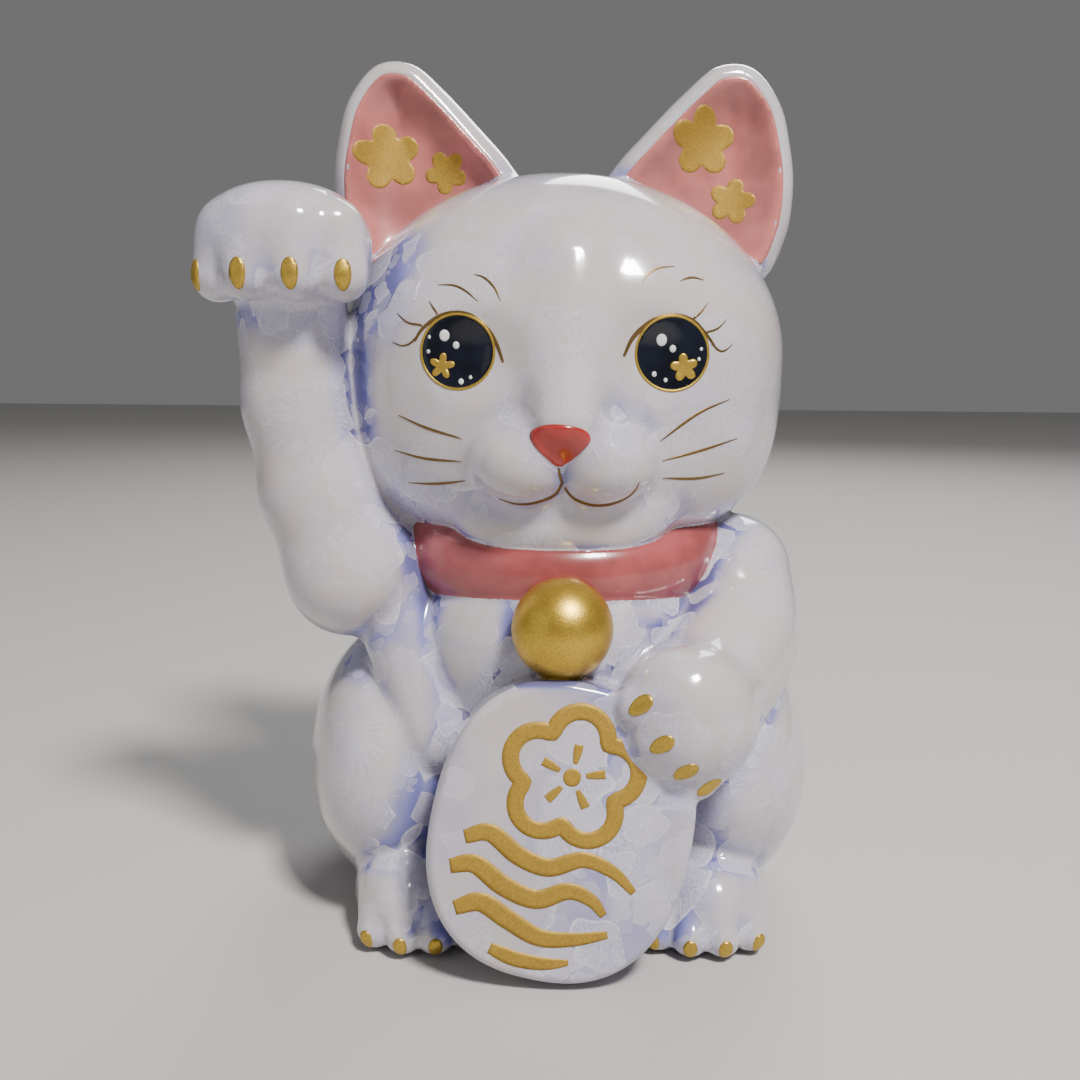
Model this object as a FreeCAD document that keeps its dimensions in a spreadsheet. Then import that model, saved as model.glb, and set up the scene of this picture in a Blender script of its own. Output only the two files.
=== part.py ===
# Beckoning cat figurine in slip-cast porcelain, millimetres, +Z up.
#
# The cat sits and looks along -Y. The origin is on the shelf under the middle of the body. "Right" and
# "left" are the cat's own, so its right side is at -X: the right foreleg beckons beside the head and the
# left one holds an oval tablet to the belly. The clay pieces are the lumps that a potter casts or presses
# and lutes together with slip before firing; the enamel and gold pieces are the layers fired on after.
import FreeCAD, Part
import Sketcher
import math
import os

DIMENSIONS = {
    # walls and layers
    "wall": 4.0,  # cast wall of the hollow body and head
    "enamel": 0.5,  # fired layer of colour or gold
    # torso: oval sections from the foot to the neck
    "torso_middle_y": 4.0,
    "foot_height": 0.0,
    "foot_half_width": 38.0,
    "foot_half_depth": 37.0,
    "sole_height": 7.0,
    "sole_half_width": 41.0,
    "sole_half_depth": 41.0,
    "hip_height": 24.0,
    "hip_half_width": 43.5,
    "hip_half_depth": 43.5,
    "belly_height": 44.0,
    "belly_half_width": 42.0,
    "belly_half_depth": 42.0,
    "chest_height": 64.0,
    "chest_half_width": 38.0,
    "chest_half_depth": 37.0,
    "shoulder_height": 78.0,
    "shoulder_half_width": 32.0,
    "shoulder_half_depth": 32.0,
    "neck_height": 91.0,
    "neck_half_width": 27.0,
    "neck_half_depth": 27.0,
    # haunches
    "haunch_x": 37.0,
    "haunch_y": 0.0,
    "haunch_height": 31.0,
    "haunch_half_width": 19.5,
    "haunch_half_depth": 37.0,
    "haunch_half_height": 28.5,
    # base plate and its pour hole
    "plate_thickness": 4.0,
    "pour_hole_radius": 7.0,
    "pour_hole_y": 20.0,
    # head: oval sections from the chin to the crown
    "head_middle_y": -1.0,
    "chin_height": 79.0,
    "chin_half_width": 14.0,
    "chin_half_depth": 12.0,
    "jaw_height": 83.0,
    "jaw_half_width": 32.0,
    "jaw_half_depth": 27.0,
    "cheek_height": 94.0,
    "cheek_half_width": 44.0,
    "cheek_half_depth": 34.5,
    "face_height": 109.0,
    "face_half_width": 47.0,
    "face_half_depth": 37.0,
    "temple_height": 126.0,
    "temple_half_width": 46.0,
    "temple_half_depth": 36.5,
    "brow_height": 141.0,
    "brow_half_width": 42.0,
    "brow_half_depth": 33.0,
    "crown_height": 153.0,
    "crown_half_width": 29.0,
    "crown_half_depth": 23.0,
    "peak_height": 158.0,
    "peak_half_width": 12.0,
    "peak_half_depth": 9.0,
    "muzzle_x": 6.2,
    "muzzle_y": -36.5,
    "muzzle_height": 95.5,
    "muzzle_half_width": 9.0,
    "muzzle_half_depth": 8.0,
    "muzzle_half_height": 6.5,
    "bridge_y": -36.0,
    "bridge_height": 110.0,
    "bridge_half_width": 7.5,
    "bridge_half_depth": 10.5,
    "bridge_half_height": 17.0,
    # ears: a leaning oval cone with a scooped front
    "ear_x": 28.5,
    "ear_y": 4.0,
    "ear_height": 136.0,
    "ear_lean": 11.0,
    "ear_root_rise": 0.0,
    "ear_root_half_width": 13.0,
    "ear_root_half_depth": 10.0,
    "ear_flare_rise": 16.0,
    "ear_flare_half_width": 19.0,
    "ear_flare_half_depth": 9.0,
    "ear_blade_rise": 31.0,
    "ear_blade_half_width": 12.5,
    "ear_blade_half_depth": 6.0,
    "ear_tip_rise": 41.5,
    "ear_tip_half_width": 5.0,
    "ear_tip_half_depth": 3.2,
    "ear_point_rise": 44.5,
    "ear_point_half_width": 1.6,
    "ear_point_half_depth": 1.2,
    "scoop_rise": 20.0,
    "scoop_half_width": 15.5,
    "scoop_half_depth": 7.5,
    "scoop_half_length": 20.0,
    "scoop_forward": 9.5,
    # beckoning foreleg
    "elbow_x": 48.0,
    "elbow_y": -15.0,
    "elbow_height": 74.5,
    "elbow_radius": 13.0,
    "wrist_x": 55.0,
    "wrist_y": -19.0,
    "wrist_height": 126.0,
    "wrist_radius": 10.5,
    "upper_arm_x": 32.0,
    "upper_arm_y": -2.0,
    "upper_arm_height": 74.0,
    "upper_arm_radius": 12.0,
    "beckon_paw_x": 54.0,
    "beckon_paw_y": -27.0,
    "beckon_paw_height": 139.0,
    "beckon_paw_half_width": 16.5,
    "beckon_paw_half_depth": 14.5,
    "beckon_paw_half_height": 12.3,
    # resting foreleg
    "rest_shoulder_x": 33.0,
    "rest_shoulder_y": -6.0,
    "rest_shoulder_height": 70.0,
    "rest_shoulder_radius": 16.0,
    "rest_elbow_x": 38.0,
    "rest_elbow_y": -25.0,
    "rest_elbow_height": 58.0,
    "rest_elbow_radius": 13.5,
    "rest_paw_x": 21.0,
    "rest_paw_y": -45.0,
    "rest_paw_height": 50.5,
    "rest_paw_radius": 12.0,
    # hind paws and tail
    "hind_paw_x": 32.5,
    "hind_paw_y": -28.0,
    "hind_paw_height": 9.5,
    "hind_paw_half_width": 10.8,
    "hind_paw_half_depth": 17.5,
    "hind_paw_half_height": 13.5,
    "tail_x": 8.0,
    "tail_y": 45.0,
    "tail_height": 14.0,
    "tail_half_width": 13.0,
    "tail_half_depth": 9.0,
    "tail_half_height": 9.0,
    # collar and bell
    "collar_y": -0.5,
    "collar_height": 79.4,
    "collar_ring_radius": 30.6,
    "collar_band_radius": 6.4,
    "collar_dip": 7.0,
    "bell_y": -41.2,
    "bell_height": 67.3,
    "bell_radius": 9.8,
    # oval tablet
    "tablet_length": 58.0,
    "tablet_width": 49.5,
    "tablet_thickness": 9.0,
    "tablet_edge_fillet": 2.0,
    "tablet_y": -40.5,
    "tablet_height": 29.1,
    "tablet_lean": 6.5,
    "tablet_roll": 12.0,
    # painted features
    "eye_x": 20.3,
    "eye_height": 119.0,
    "eye_radius": 7.3,
    "eye_ring_width": 0.7,
    "nose_height": 101.5,
    "nose_half_width": 5.6,
    "nose_half_height": 4.3,
    "whisker_length": 13.5,
    "whisker_width": 1.0,
    "brow_length": 7.0,
    "brow_width": 0.9,
    "claw_half_width": 1.7,
    "claw_half_height": 3.1,
    "claw_half_depth": 1.4,
    "blossom_petal_radius": 1.7,
    "blossom_ring_radius": 2.5,
    "ornament_petal_radius": 3.9,
    "ornament_ring_radius": 6.3,
}
TORSO_SECTIONS = ("foot", "sole", "hip", "belly", "chest", "shoulder", "neck")
HEAD_SECTIONS = ("chin", "jaw", "cheek", "face", "temple", "brow", "crown", "peak")
EAR_SECTIONS = ("root", "flare", "blade", "tip", "point")
RIGHT, LEFT = -1, 1
SIDES = {"right": RIGHT, "left": LEFT}
X_AXIS = FreeCAD.Vector(1, 0, 0)
Y_AXIS = FreeCAD.Vector(0, 1, 0)
Z_AXIS = FreeCAD.Vector(0, 0, 1)
BLOSSOM_PETALS = 5
BIG_SLAB = 200.0  # wider than the whole figure

doc = FreeCAD.newDocument("beckoning_cat")
sheet = doc.addObject("Spreadsheet::Sheet", "dims")
for row, (alias, value) in enumerate(DIMENSIONS.items(), start=1):
    sheet.set(f"A{row}", alias)
    sheet.set(f"B{row}", str(value))
    sheet.setAlias(f"B{row}", alias)
doc.recompute()

nodes = []


def size(alias):
    """A driving dimension's number, for code that needs it outside an expression."""
    return float(sheet.get(alias))


def bind(thing, **expressions):
    """Ties properties of a document object to sheet cells."""
    for prop, expression in expressions.items():
        thing.setExpression(prop, expression)
    return thing


def put(thing, x="0", y="0", height="0", turn=None):
    """Ties an object's place to the sheet. turn is (axis, expression in degrees)."""
    if turn:
        axis, angle = turn
        thing.Placement = FreeCAD.Placement(FreeCAD.Vector(), FreeCAD.Rotation(axis, 1.0))
        thing.setExpression("Placement.Rotation.Angle", angle)
    for prop, expression in (("x", x), ("y", y), ("z", height)):
        thing.setExpression("Placement.Base." + prop, f"({expression}) * 1 mm")
    return thing


def ellipsoid(name, x, y, height, half_width, half_depth, half_height, turn=None):
    """Part::Ellipsoid with radii along X, Y and Z."""
    blob = doc.addObject("Part::Ellipsoid", name)
    bind(blob, Radius1=half_height, Radius2=half_width, Radius3=half_depth)
    return put(blob, x, y, height, turn)


def sphere(name, x, y, height, radius):
    ball = bind(doc.addObject("Part::Sphere", name), Radius=radius)
    return put(ball, x, y, height)


def oval(name, x, y, height, half_width, half_depth):
    """Part::Ellipse in a horizontal plane. A wider-than-deep or round section needs no turn."""
    ring = bind(doc.addObject("Part::Ellipse", name), MajorRadius=half_width, MinorRadius=half_depth)
    return put(ring, x, y, height)


def loft(name, sections):
    skin = doc.addObject("Part::Loft", name)
    skin.Sections = sections
    skin.Solid = True
    return skin


def fuse(name, *shapes):
    joined = doc.addObject("Part::MultiFuse", name)
    joined.Shapes = list(shapes)
    return joined


def cut(name, base, *tools):
    """base less the tools, one boolean for all of them."""
    remover = tools[0] if len(tools) == 1 else fuse(name + "_tools", *tools)
    made = doc.addObject("Part::Cut", name)
    made.Base, made.Tool = base, remover
    return made


def common(name, first, second):
    made = doc.addObject("Part::Common", name)
    made.Base, made.Tool = first, second
    return made


def slab(name, bottom, thickness):
    """A wide horizontal slab, for cutting level faces."""
    box = doc.addObject("Part::Box", name)
    box.Length = box.Width = BIG_SLAB
    bind(box, Height=f"({thickness}) * 1 mm")
    return put(box, str(-BIG_SLAB / 2), str(-BIG_SLAB / 2), bottom)


def node(thing, label):
    """Marks an object as a piece of the figurine. Its label names its STEP file."""
    thing.Label = label
    nodes.append(thing)
    return thing


def taper(name, start, end):
    """A limb from one ball to another: two balls and the cone between their middles.
    start and end are (x, y, height, radius) as sheet expressions."""
    balls = [sphere(f"{name}_ball_{i}", *spec) for i, spec in enumerate((start, end))]
    doc.recompute()
    low, high = (ball.Placement.Base for ball in balls)
    cone = doc.addObject("Part::Cone", name + "_cone")
    axis = high - low
    cone.Placement = FreeCAD.Placement(low, FreeCAD.Rotation(Z_AXIS, axis))
    cone.Height = axis.Length
    bind(cone, Radius1=start[3], Radius2=end[3])
    return [*balls, cone]


def section_stack(name, parts, middle_y, shrink="0", lift="0"):
    """A loft through the sheet's named oval sections, drawn in all round by shrink.
    lift moves the lowest section up and the highest one down."""
    ends = {parts[0]: f"+ {lift}", parts[-1]: f"- {lift}"}
    ovals = [
        oval(
            f"{name}_{part}",
            "0",
            middle_y,
            f"dims.{part}_height {ends.get(part, '')}",
            f"dims.{part}_half_width - {shrink}",
            f"dims.{part}_half_depth - {shrink}",
        )
        for part in parts
    ]
    return loft(name + "_loft", ovals)


def torso_solid(name, shrink):
    """The torso and haunches, smaller all round by shrink."""
    haunches = [
        ellipsoid(
            f"{name}_{side}_haunch",
            f"{sign} * dims.haunch_x",
            "dims.haunch_y",
            "dims.haunch_height",
            f"dims.haunch_half_width - {shrink}",
            f"dims.haunch_half_depth - {shrink}",
            f"dims.haunch_half_height - {shrink}",
        )
        for side, sign in SIDES.items()
    ]
    return fuse(name, section_stack(name, TORSO_SECTIONS, "dims.torso_middle_y", shrink), *haunches)


def head_solid(name, grow="0"):
    """Skull, muzzle lobes and nose bridge as one outer shape, larger all round by grow."""

    def lump(part, middle_x, label):
        return ellipsoid(
            f"{name}_{label}",
            middle_x,
            f"dims.{part}_y",
            f"dims.{part}_height",
            f"dims.{part}_half_width + {grow}",
            f"dims.{part}_half_depth + {grow}",
            f"dims.{part}_half_height + {grow}",
        )

    skull = section_stack(name, HEAD_SECTIONS, "dims.head_middle_y", f"(-1) * {grow}", f"(-1) * {grow}")
    lobes = [lump("muzzle", f"{sign} * dims.muzzle_x", f"muzzle_{side}") for side, sign in SIDES.items()]
    return fuse(name, skull, lump("bridge", "0", "bridge"), *lobes)


def ear(side, sign, head):
    """A leaning oval cone with a scooped front, its pink lining and the pair of gold blossoms on it."""
    lean = (Y_AXIS, f"{sign} * dims.ear_lean")
    place = (f"{sign} * dims.ear_x", "dims.ear_y", "dims.ear_height")
    sections = [
        oval(
            f"{side}_ear_{part}",
            "0",
            "0",
            f"dims.ear_{part}_rise",
            f"dims.ear_{part}_half_width",
            f"dims.ear_{part}_half_depth",
        )
        for part in EAR_SECTIONS
    ]
    cone = put(loft(f"{side}_ear_cone", sections), *place, lean)

    def scoop(name, shrink):
        """The bowl of the ear; its middle stands scoop_forward in front of the cone's axis."""
        bowl = ellipsoid(
            f"{side}_{name}",
            f"{sign} * (dims.ear_x + dims.scoop_rise * sin(dims.ear_lean * 1 deg))",
            "dims.ear_y - dims.scoop_forward",
            "dims.ear_height + dims.scoop_rise * cos(dims.ear_lean * 1 deg)",
            f"dims.scoop_half_width - {shrink}",
            f"dims.scoop_half_depth - {shrink}",
            f"dims.scoop_half_length - {shrink}",
            lean,
        )
        return bowl

    clay = node(cut(f"{side}_ear_clay", cone, scoop("scoop", "0"), head), f"{side}_ear")
    bowl_in_ear = common(f"{side}_bowl_in_ear", cone, scoop("scoop_for_lining", "0"))
    node(
        cut(f"{side}_lining", bowl_in_ear, scoop("lining_face", "dims.enamel"), head),
        f"{side}_ear_lining_enamel",
    )
    gold_layer = cut(
        f"{side}_gold_layer",
        common(f"{side}_gold_bowl", cone, scoop("gold_back", "dims.enamel")),
        scoop("gold_face", "2 * dims.enamel"),
    )
    petals = []
    for number, (across, up) in enumerate(((1.0, 30.0), (-6.5, 21.5))):
        petals += blossom(
            f"{side}_blossom_{number}",
            sign * (size("ear_x") + up * math.sin(math.radians(size("ear_lean"))) + across),
            size("ear_y"),
            size("ear_height") + up * math.cos(math.radians(size("ear_lean"))),
        )
    flowers = fuse(f"{side}_blossom_prisms", *petals)
    node(common(f"{side}_blossoms_on_bowl", gold_layer, flowers), f"{side}_ear_blossoms_gold")
    return clay


def blossom(name, x, y, height):
    """Five petal prisms and a middle one, running along Y through the point."""
    made = []
    for petal in range(BLOSSOM_PETALS + 1):
        rod = doc.addObject("Part::Cylinder", f"{name}_{petal}")
        bind(rod, Radius="dims.blossom_petal_radius")
        rod.Height = BIG_SLAB / 4
        reach = size("blossom_ring_radius") if petal < BLOSSOM_PETALS else 0.0
        turn = 2 * math.pi * petal / BLOSSOM_PETALS
        middle = FreeCAD.Vector(x + reach * math.sin(turn), y, height + reach * math.cos(turn))
        start = middle + Y_AXIS * (rod.Height.Value / 2)
        rod.Placement = FreeCAD.Placement(start, FreeCAD.Rotation(X_AXIS, 90))
        made.append(rod)
    return made


def stroke(name, x, height, length, width, slope):
    """A straight brush stroke as a bar that runs along Y, middle at x and height, slope in degrees."""
    bar = doc.addObject("Part::Box", name)
    bind(bar, Length=length, Height=width)
    bar.Width = BIG_SLAB / 4
    doc.recompute()
    turn = FreeCAD.Rotation(Y_AXIS, -slope)
    corner = turn.multVec(FreeCAD.Vector(-bar.Length.Value / 2, 0, -bar.Height.Value / 2))
    bar.Placement = FreeCAD.Placement(FreeCAD.Vector(x, -BIG_SLAB / 4, height) + corner, turn)
    return bar


def rod_along_y(name, x, height, radius):
    """A round bar from the middle of the head forward along -Y."""
    rod = doc.addObject("Part::Cylinder", name)
    bind(rod, Radius=radius)
    rod.Height = BIG_SLAB / 4
    rod.Placement.Rotation = FreeCAD.Rotation(X_AXIS, 90)
    rod.setExpression("Placement.Base.x", f"({x}) * 1 mm")
    rod.setExpression("Placement.Base.z", f"({height}) * 1 mm")
    return rod


def face_paint(head):
    """Eyes, brows, whiskers, nose and mouth: parts of a thin layer over the front of the head."""
    paint_layer = cut("paint_layer", head_solid("head_painted", "dims.enamel"), head)

    def painted(label, *shapes):
        prism = shapes[0] if len(shapes) == 1 else fuse(label + "_prisms", *shapes)
        return common(label + "_paint", paint_layer, prism)

    for side, sign in SIDES.items():
        at = (f"{sign} * dims.eye_x", "dims.eye_height")
        pupil = rod_along_y(f"{side}_pupil", *at, "dims.eye_radius")
        rim = rod_along_y(f"{side}_rim", *at, "dims.eye_radius + dims.eye_ring_width")
        hole = rod_along_y(f"{side}_rim_hole", *at, "dims.eye_radius")
        node(painted(f"{side}_eye", pupil), f"{side}_eye_enamel")
        node(painted(f"{side}_eye_rim", cut(f"{side}_ring", rim, hole)), f"{side}_eye_rim_gold")
    whiskers, brows = [], []
    for side, sign in SIDES.items():
        for number, (height, slope) in enumerate(((104.5, 22), (98.5, 9), (93.5, -3))):
            bar = (sign * 28.5, height, "dims.whisker_length", "dims.whisker_width", sign * slope)
            whiskers.append(stroke(f"{side}_whisker_{number}", *bar))
        for number, (x, height, slope) in enumerate(((13.5, 131.0, -60), (21.5, 131.5, -20))):
            bar = (sign * x, height, "dims.brow_length", "dims.brow_width", sign * slope)
            brows.append(stroke(f"{side}_brow_{number}", *bar))
    node(painted("whiskers", *whiskers), "whiskers_gold")
    node(painted("brows", *brows), "brows_gold")

    tip = rod_along_y("nose_patch", "0", "dims.nose_height", "dims.nose_half_width")
    nose = node(painted("nose", tip), "nose_enamel")
    lines = (
        stroke("mouth_stem", 0, 95.0, "dims.nose_half_height", "dims.whisker_width", 90),
        stroke("mouth_right", -5.5, 90.8, "2 * dims.nose_half_width", "dims.whisker_width", 0),
        stroke("mouth_left", 5.5, 90.8, "2 * dims.nose_half_width", "dims.whisker_width", 0),
    )
    node(cut("mouth_line", painted("mouth", *lines), nose), "mouth_line_gold")


def claws(label, paw, middle, half, fan, drop):
    """Gold claws on a paw: small ovals half sunk in its surface, less the paw itself.
    middle and half are the paw's middle and half sizes; fan is each claw's angle from straight ahead."""
    ovals = []
    for number, angle in enumerate(fan):
        turn = math.radians(angle)
        level = math.sqrt(1 - (drop / half[2]) ** 2)
        claw = ellipsoid(
            f"{label}_{number}",
            str(middle[0] + half[0] * level * math.sin(turn)),
            str(middle[1] - half[1] * level * math.cos(turn)),
            str(middle[2] - drop),
            "dims.claw_half_width",
            "dims.claw_half_depth",
            "dims.claw_half_height",
        )
        ovals.append(claw)
    return node(cut(label, fuse(label + "_ovals", *ovals), paw), label)


def tablet():
    """The oval tablet: a padded oval with rounded edges, leaned back and rolled towards the resting paw."""
    body = doc.addObject("PartDesign::Body", "tablet_body")
    plane = next(f for f in body.Origin.OriginFeatures if f.Role == "XZ_Plane")
    sketch = body.newObject("Sketcher::SketchObject", "tablet_sketch")
    sketch.AttachmentSupport = (plane, [""])
    sketch.MapMode = "FlatFace"
    half_length, half_width = size("tablet_length") / 2, size("tablet_width") / 2
    outline = Part.Ellipse(
        FreeCAD.Vector(0, half_length, 0), FreeCAD.Vector(half_width, 0, 0), FreeCAD.Vector()
    )
    oval_id = sketch.addGeometry(outline, False)
    sketch.exposeInternalGeometry(oval_id)
    long_axis, short_axis = oval_id + 1, oval_id + 2
    sketch.addConstraint(Sketcher.Constraint("Coincident", oval_id, 3, -1, 1))
    sketch.addConstraint(Sketcher.Constraint("Vertical", long_axis))
    for axis, name in ((long_axis, "tablet_length"), (short_axis, "tablet_width")):
        row = sketch.addConstraint(Sketcher.Constraint("Distance", axis, size(name)))
        sketch.renameConstraint(row, name)
        sketch.setExpression("Constraints." + name, f"dims.{name} * 1 mm")
    pad = body.newObject("PartDesign::Pad", "tablet_pad")
    pad.Profile = sketch
    pad.setExpression("Length", "dims.tablet_thickness * 1 mm")
    doc.recompute()
    edges = [f"Edge{i + 1}" for i, e in enumerate(pad.Shape.Edges) if len(e.Vertexes) == 1 or e.Closed]
    fillet = body.newObject("PartDesign::Fillet", "tablet_fillet")
    fillet.Base = (pad, edges)
    fillet.setExpression("Radius", "dims.tablet_edge_fillet * 1 mm")
    body.Tip = fillet
    lean = FreeCAD.Rotation(X_AXIS, -size("tablet_lean"))
    roll = FreeCAD.Rotation(Y_AXIS, size("tablet_roll"))
    body.Placement.Rotation = lean.multiply(roll)
    body.setExpression("Placement.Base.y", "dims.tablet_y * 1 mm")
    body.setExpression("Placement.Base.z", "dims.tablet_height * 1 mm")
    doc.recompute()
    return body


def bell():
    """The bell: a half disc turned about its own upright axis."""
    body = doc.addObject("PartDesign::Body", "bell_body")
    plane = next(f for f in body.Origin.OriginFeatures if f.Role == "XZ_Plane")
    sketch = body.newObject("Sketcher::SketchObject", "bell_sketch")
    sketch.AttachmentSupport = (plane, [""])
    sketch.MapMode = "FlatFace"
    radius = size("bell_radius")
    arc = Part.ArcOfCircle(
        Part.Circle(FreeCAD.Vector(), Z_AXIS, radius), -math.pi / 2, math.pi / 2
    )
    line = Part.LineSegment(FreeCAD.Vector(0, radius, 0), FreeCAD.Vector(0, -radius, 0))
    round_id, flat_id = sketch.addGeometry([arc, line], False)
    for constraint in (
        Sketcher.Constraint("Coincident", round_id, 3, -1, 1),
        Sketcher.Constraint("Coincident", round_id, 2, flat_id, 1),
        Sketcher.Constraint("Coincident", round_id, 1, flat_id, 2),
        Sketcher.Constraint("Vertical", flat_id),
    ):
        sketch.addConstraint(constraint)
    row = sketch.addConstraint(Sketcher.Constraint("Radius", round_id, radius))
    sketch.renameConstraint(row, "bell_radius")
    sketch.setExpression("Constraints.bell_radius", "dims.bell_radius * 1 mm")
    turned = body.newObject("PartDesign::Revolution", "bell_revolution")
    turned.Profile = sketch
    turned.ReferenceAxis = (sketch, ["V_Axis"])
    turned.Angle = 360.0
    body.Tip = turned
    body.setExpression("Placement.Base.y", "dims.bell_y * 1 mm")
    body.setExpression("Placement.Base.z", "dims.bell_height * 1 mm")
    doc.recompute()
    return body


def ornament(tablet_body):
    """A generic gold blossom over three wave bars on the tablet's face, in place of lettering."""
    made = []
    for petal in range(BLOSSOM_PETALS):
        rod = doc.addObject("Part::Cylinder", f"ornament_petal_{petal}")
        bind(rod, Radius="dims.ornament_petal_radius", Height="dims.enamel")
        turn = 2 * math.pi * petal / BLOSSOM_PETALS
        reach = size("ornament_ring_radius")
        at = FreeCAD.Vector(reach * math.sin(turn), 0, 11.0 + reach * math.cos(turn))
        made.append((rod, at, FreeCAD.Rotation(X_AXIS, 90)))
    for number, (height, length) in enumerate(((-6.0, 30.0), (-12.0, 30.0), (-18.0, 24.0))):
        bar = doc.addObject("Part::Box", f"ornament_bar_{number}")
        bar.Length, bar.Height = length, 2.6
        bind(bar, Width="dims.enamel")
        made.append((bar, FreeCAD.Vector(-length / 2, -size("enamel"), height), FreeCAD.Rotation()))
    face = FreeCAD.Vector(0, -size("tablet_thickness"), 0)
    for thing, at, turn in made:
        thing.Placement = tablet_body.Placement.multiply(FreeCAD.Placement(at + face, turn))
    return fuse("ornament", *[thing for thing, _, _ in made])


# clay ------------------------------------------------------------------------------------------------
torso_outer = torso_solid("torso_outer", "0")
torso_inner = torso_solid("torso_inner", "dims.wall")
node(cut("torso_clay", torso_outer, torso_inner), "torso_shell")

plate_slab = slab("plate_slab", "dims.foot_height", "dims.plate_thickness")
pour_hole = bind(doc.addObject("Part::Cylinder", "pour_hole"), Radius="dims.pour_hole_radius")
pour_hole.Height = BIG_SLAB / 4
put(pour_hole, y="dims.pour_hole_y")
plate_blank = common("plate_blank", torso_inner, plate_slab)
node(cut("plate_clay", plate_blank, pour_hole), "base_plate")

head_outer = head_solid("head_outer")
head_hollow = section_stack(
    "head_hollow", HEAD_SECTIONS, "dims.head_middle_y", "dims.wall", "dims.wall"
)
node(cut("head_clay", head_outer, head_hollow, torso_outer), "head_shell")

ears = {side: ear(side, sign, head_outer) for side, sign in SIDES.items()}

collar_ring = doc.addObject("Part::Torus", "collar_ring")
bind(collar_ring, Radius1="dims.collar_ring_radius", Radius2="dims.collar_band_radius")
put(collar_ring, "0", "dims.collar_y", "dims.collar_height", (X_AXIS, "dims.collar_dip"))
collar = node(cut("collar_clay", collar_ring, torso_outer, head_outer), "collar_band")

tablet_blank = tablet()
tablet_clay = node(cut("tablet_clay", tablet_blank, torso_outer), "koban_tablet")

bell_clay = node(cut("bell_clay", bell(), torso_outer, collar, head_outer, tablet_blank), "bell")

elbow = ("(-1) * dims.elbow_x", "dims.elbow_y", "dims.elbow_height", "dims.elbow_radius")
wrist = ("(-1) * dims.wrist_x", "dims.wrist_y", "dims.wrist_height", "dims.wrist_radius")
upper_arm = (
    "(-1) * dims.upper_arm_x",
    "dims.upper_arm_y",
    "dims.upper_arm_height",
    "dims.upper_arm_radius",
)
raised_blank = fuse("raised_blank", *taper("forearm", elbow, wrist), *taper("upper_arm", upper_arm, elbow))
raised_paw_blank = ellipsoid(
    "raised_paw_blank",
    "(-1) * dims.beckon_paw_x",
    "dims.beckon_paw_y",
    "dims.beckon_paw_height",
    "dims.beckon_paw_half_width",
    "dims.beckon_paw_half_depth",
    "dims.beckon_paw_half_height",
)
raised_leg = node(
    cut("raised_leg_clay", raised_blank, torso_outer, head_outer, collar), "raised_foreleg"
)
raised_paw = node(
    cut("raised_paw_clay", raised_paw_blank, raised_blank, head_outer, ears["right"]), "raised_paw"
)

shoulder = (
    "dims.rest_shoulder_x",
    "dims.rest_shoulder_y",
    "dims.rest_shoulder_height",
    "dims.rest_shoulder_radius",
)
rest_elbow = ("dims.rest_elbow_x", "dims.rest_elbow_y", "dims.rest_elbow_height", "dims.rest_elbow_radius")
rest_paw = ("dims.rest_paw_x", "dims.rest_paw_y", "dims.rest_paw_height", "dims.rest_paw_radius")
rest_leg_blank = fuse("rest_leg_blank", *taper("rest_upper", shoulder, rest_elbow))
rest_paw_blank = fuse("rest_paw_blank", *taper("rest_fore", rest_elbow, rest_paw))
rest_tools = (torso_outer, head_outer, collar, tablet_blank, bell_clay)
rest_leg = node(
    cut("rest_leg_clay", fuse("rest_leg_whole", rest_leg_blank, rest_paw_blank), *rest_tools),
    "resting_foreleg",
)

hind_paws = {}
for side, sign in SIDES.items():
    blank = ellipsoid(
        f"{side}_hind_blank",
        f"{sign} * dims.hind_paw_x",
        "dims.hind_paw_y",
        "dims.hind_paw_height",
        "dims.hind_paw_half_width",
        "dims.hind_paw_half_depth",
        "dims.hind_paw_half_height",
    )
    below = slab(f"{side}_below_shelf", str(-BIG_SLAB), str(BIG_SLAB))
    hind_paws[side] = node(
        cut(f"{side}_hind_clay", blank, below, torso_outer, tablet_blank), f"{side}_hind_paw"
    )

tail_blank = ellipsoid(
    "tail_blank",
    "dims.tail_x",
    "dims.tail_y",
    "dims.tail_height",
    "dims.tail_half_width",
    "dims.tail_half_depth",
    "dims.tail_half_height",
)
node(cut("tail_clay", tail_blank, torso_outer), "bob_tail")

# enamel and gold -------------------------------------------------------------------------------------
face_paint(head_outer)


def sizes(*aliases):
    return [size(alias) for alias in aliases]


paw_middle = sizes("beckon_paw_x", "beckon_paw_y", "beckon_paw_height")
paw_middle[0] *= RIGHT
paw_half = sizes("beckon_paw_half_width", "beckon_paw_half_depth", "beckon_paw_half_height")
claws("raised_paw_claws_gold", raised_paw, paw_middle, paw_half, (-62, -30, 2, 34), 3.0)
rest_middle = sizes("rest_paw_x", "rest_paw_y", "rest_paw_height")
rest_half = [size("rest_paw_radius")] * 3
claws("resting_paw_claws_gold", rest_leg, rest_middle, rest_half, (-60, -38, -14, 10), 3.0)
hind_half = sizes("hind_paw_half_width", "hind_paw_half_depth", "hind_paw_half_height")
for side, sign in SIDES.items():
    hind_middle = sizes("hind_paw_x", "hind_paw_y", "hind_paw_height")
    hind_middle[0] *= sign
    fan = [-sign * angle for angle in (-50, -22, 5, 32)]
    claws(f"{side}_hind_claws_gold", hind_paws[side], hind_middle, hind_half, fan, 5.0)

node(cut("tablet_ornament", ornament(tablet_blank), rest_leg), "koban_ornament_gold")

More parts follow.
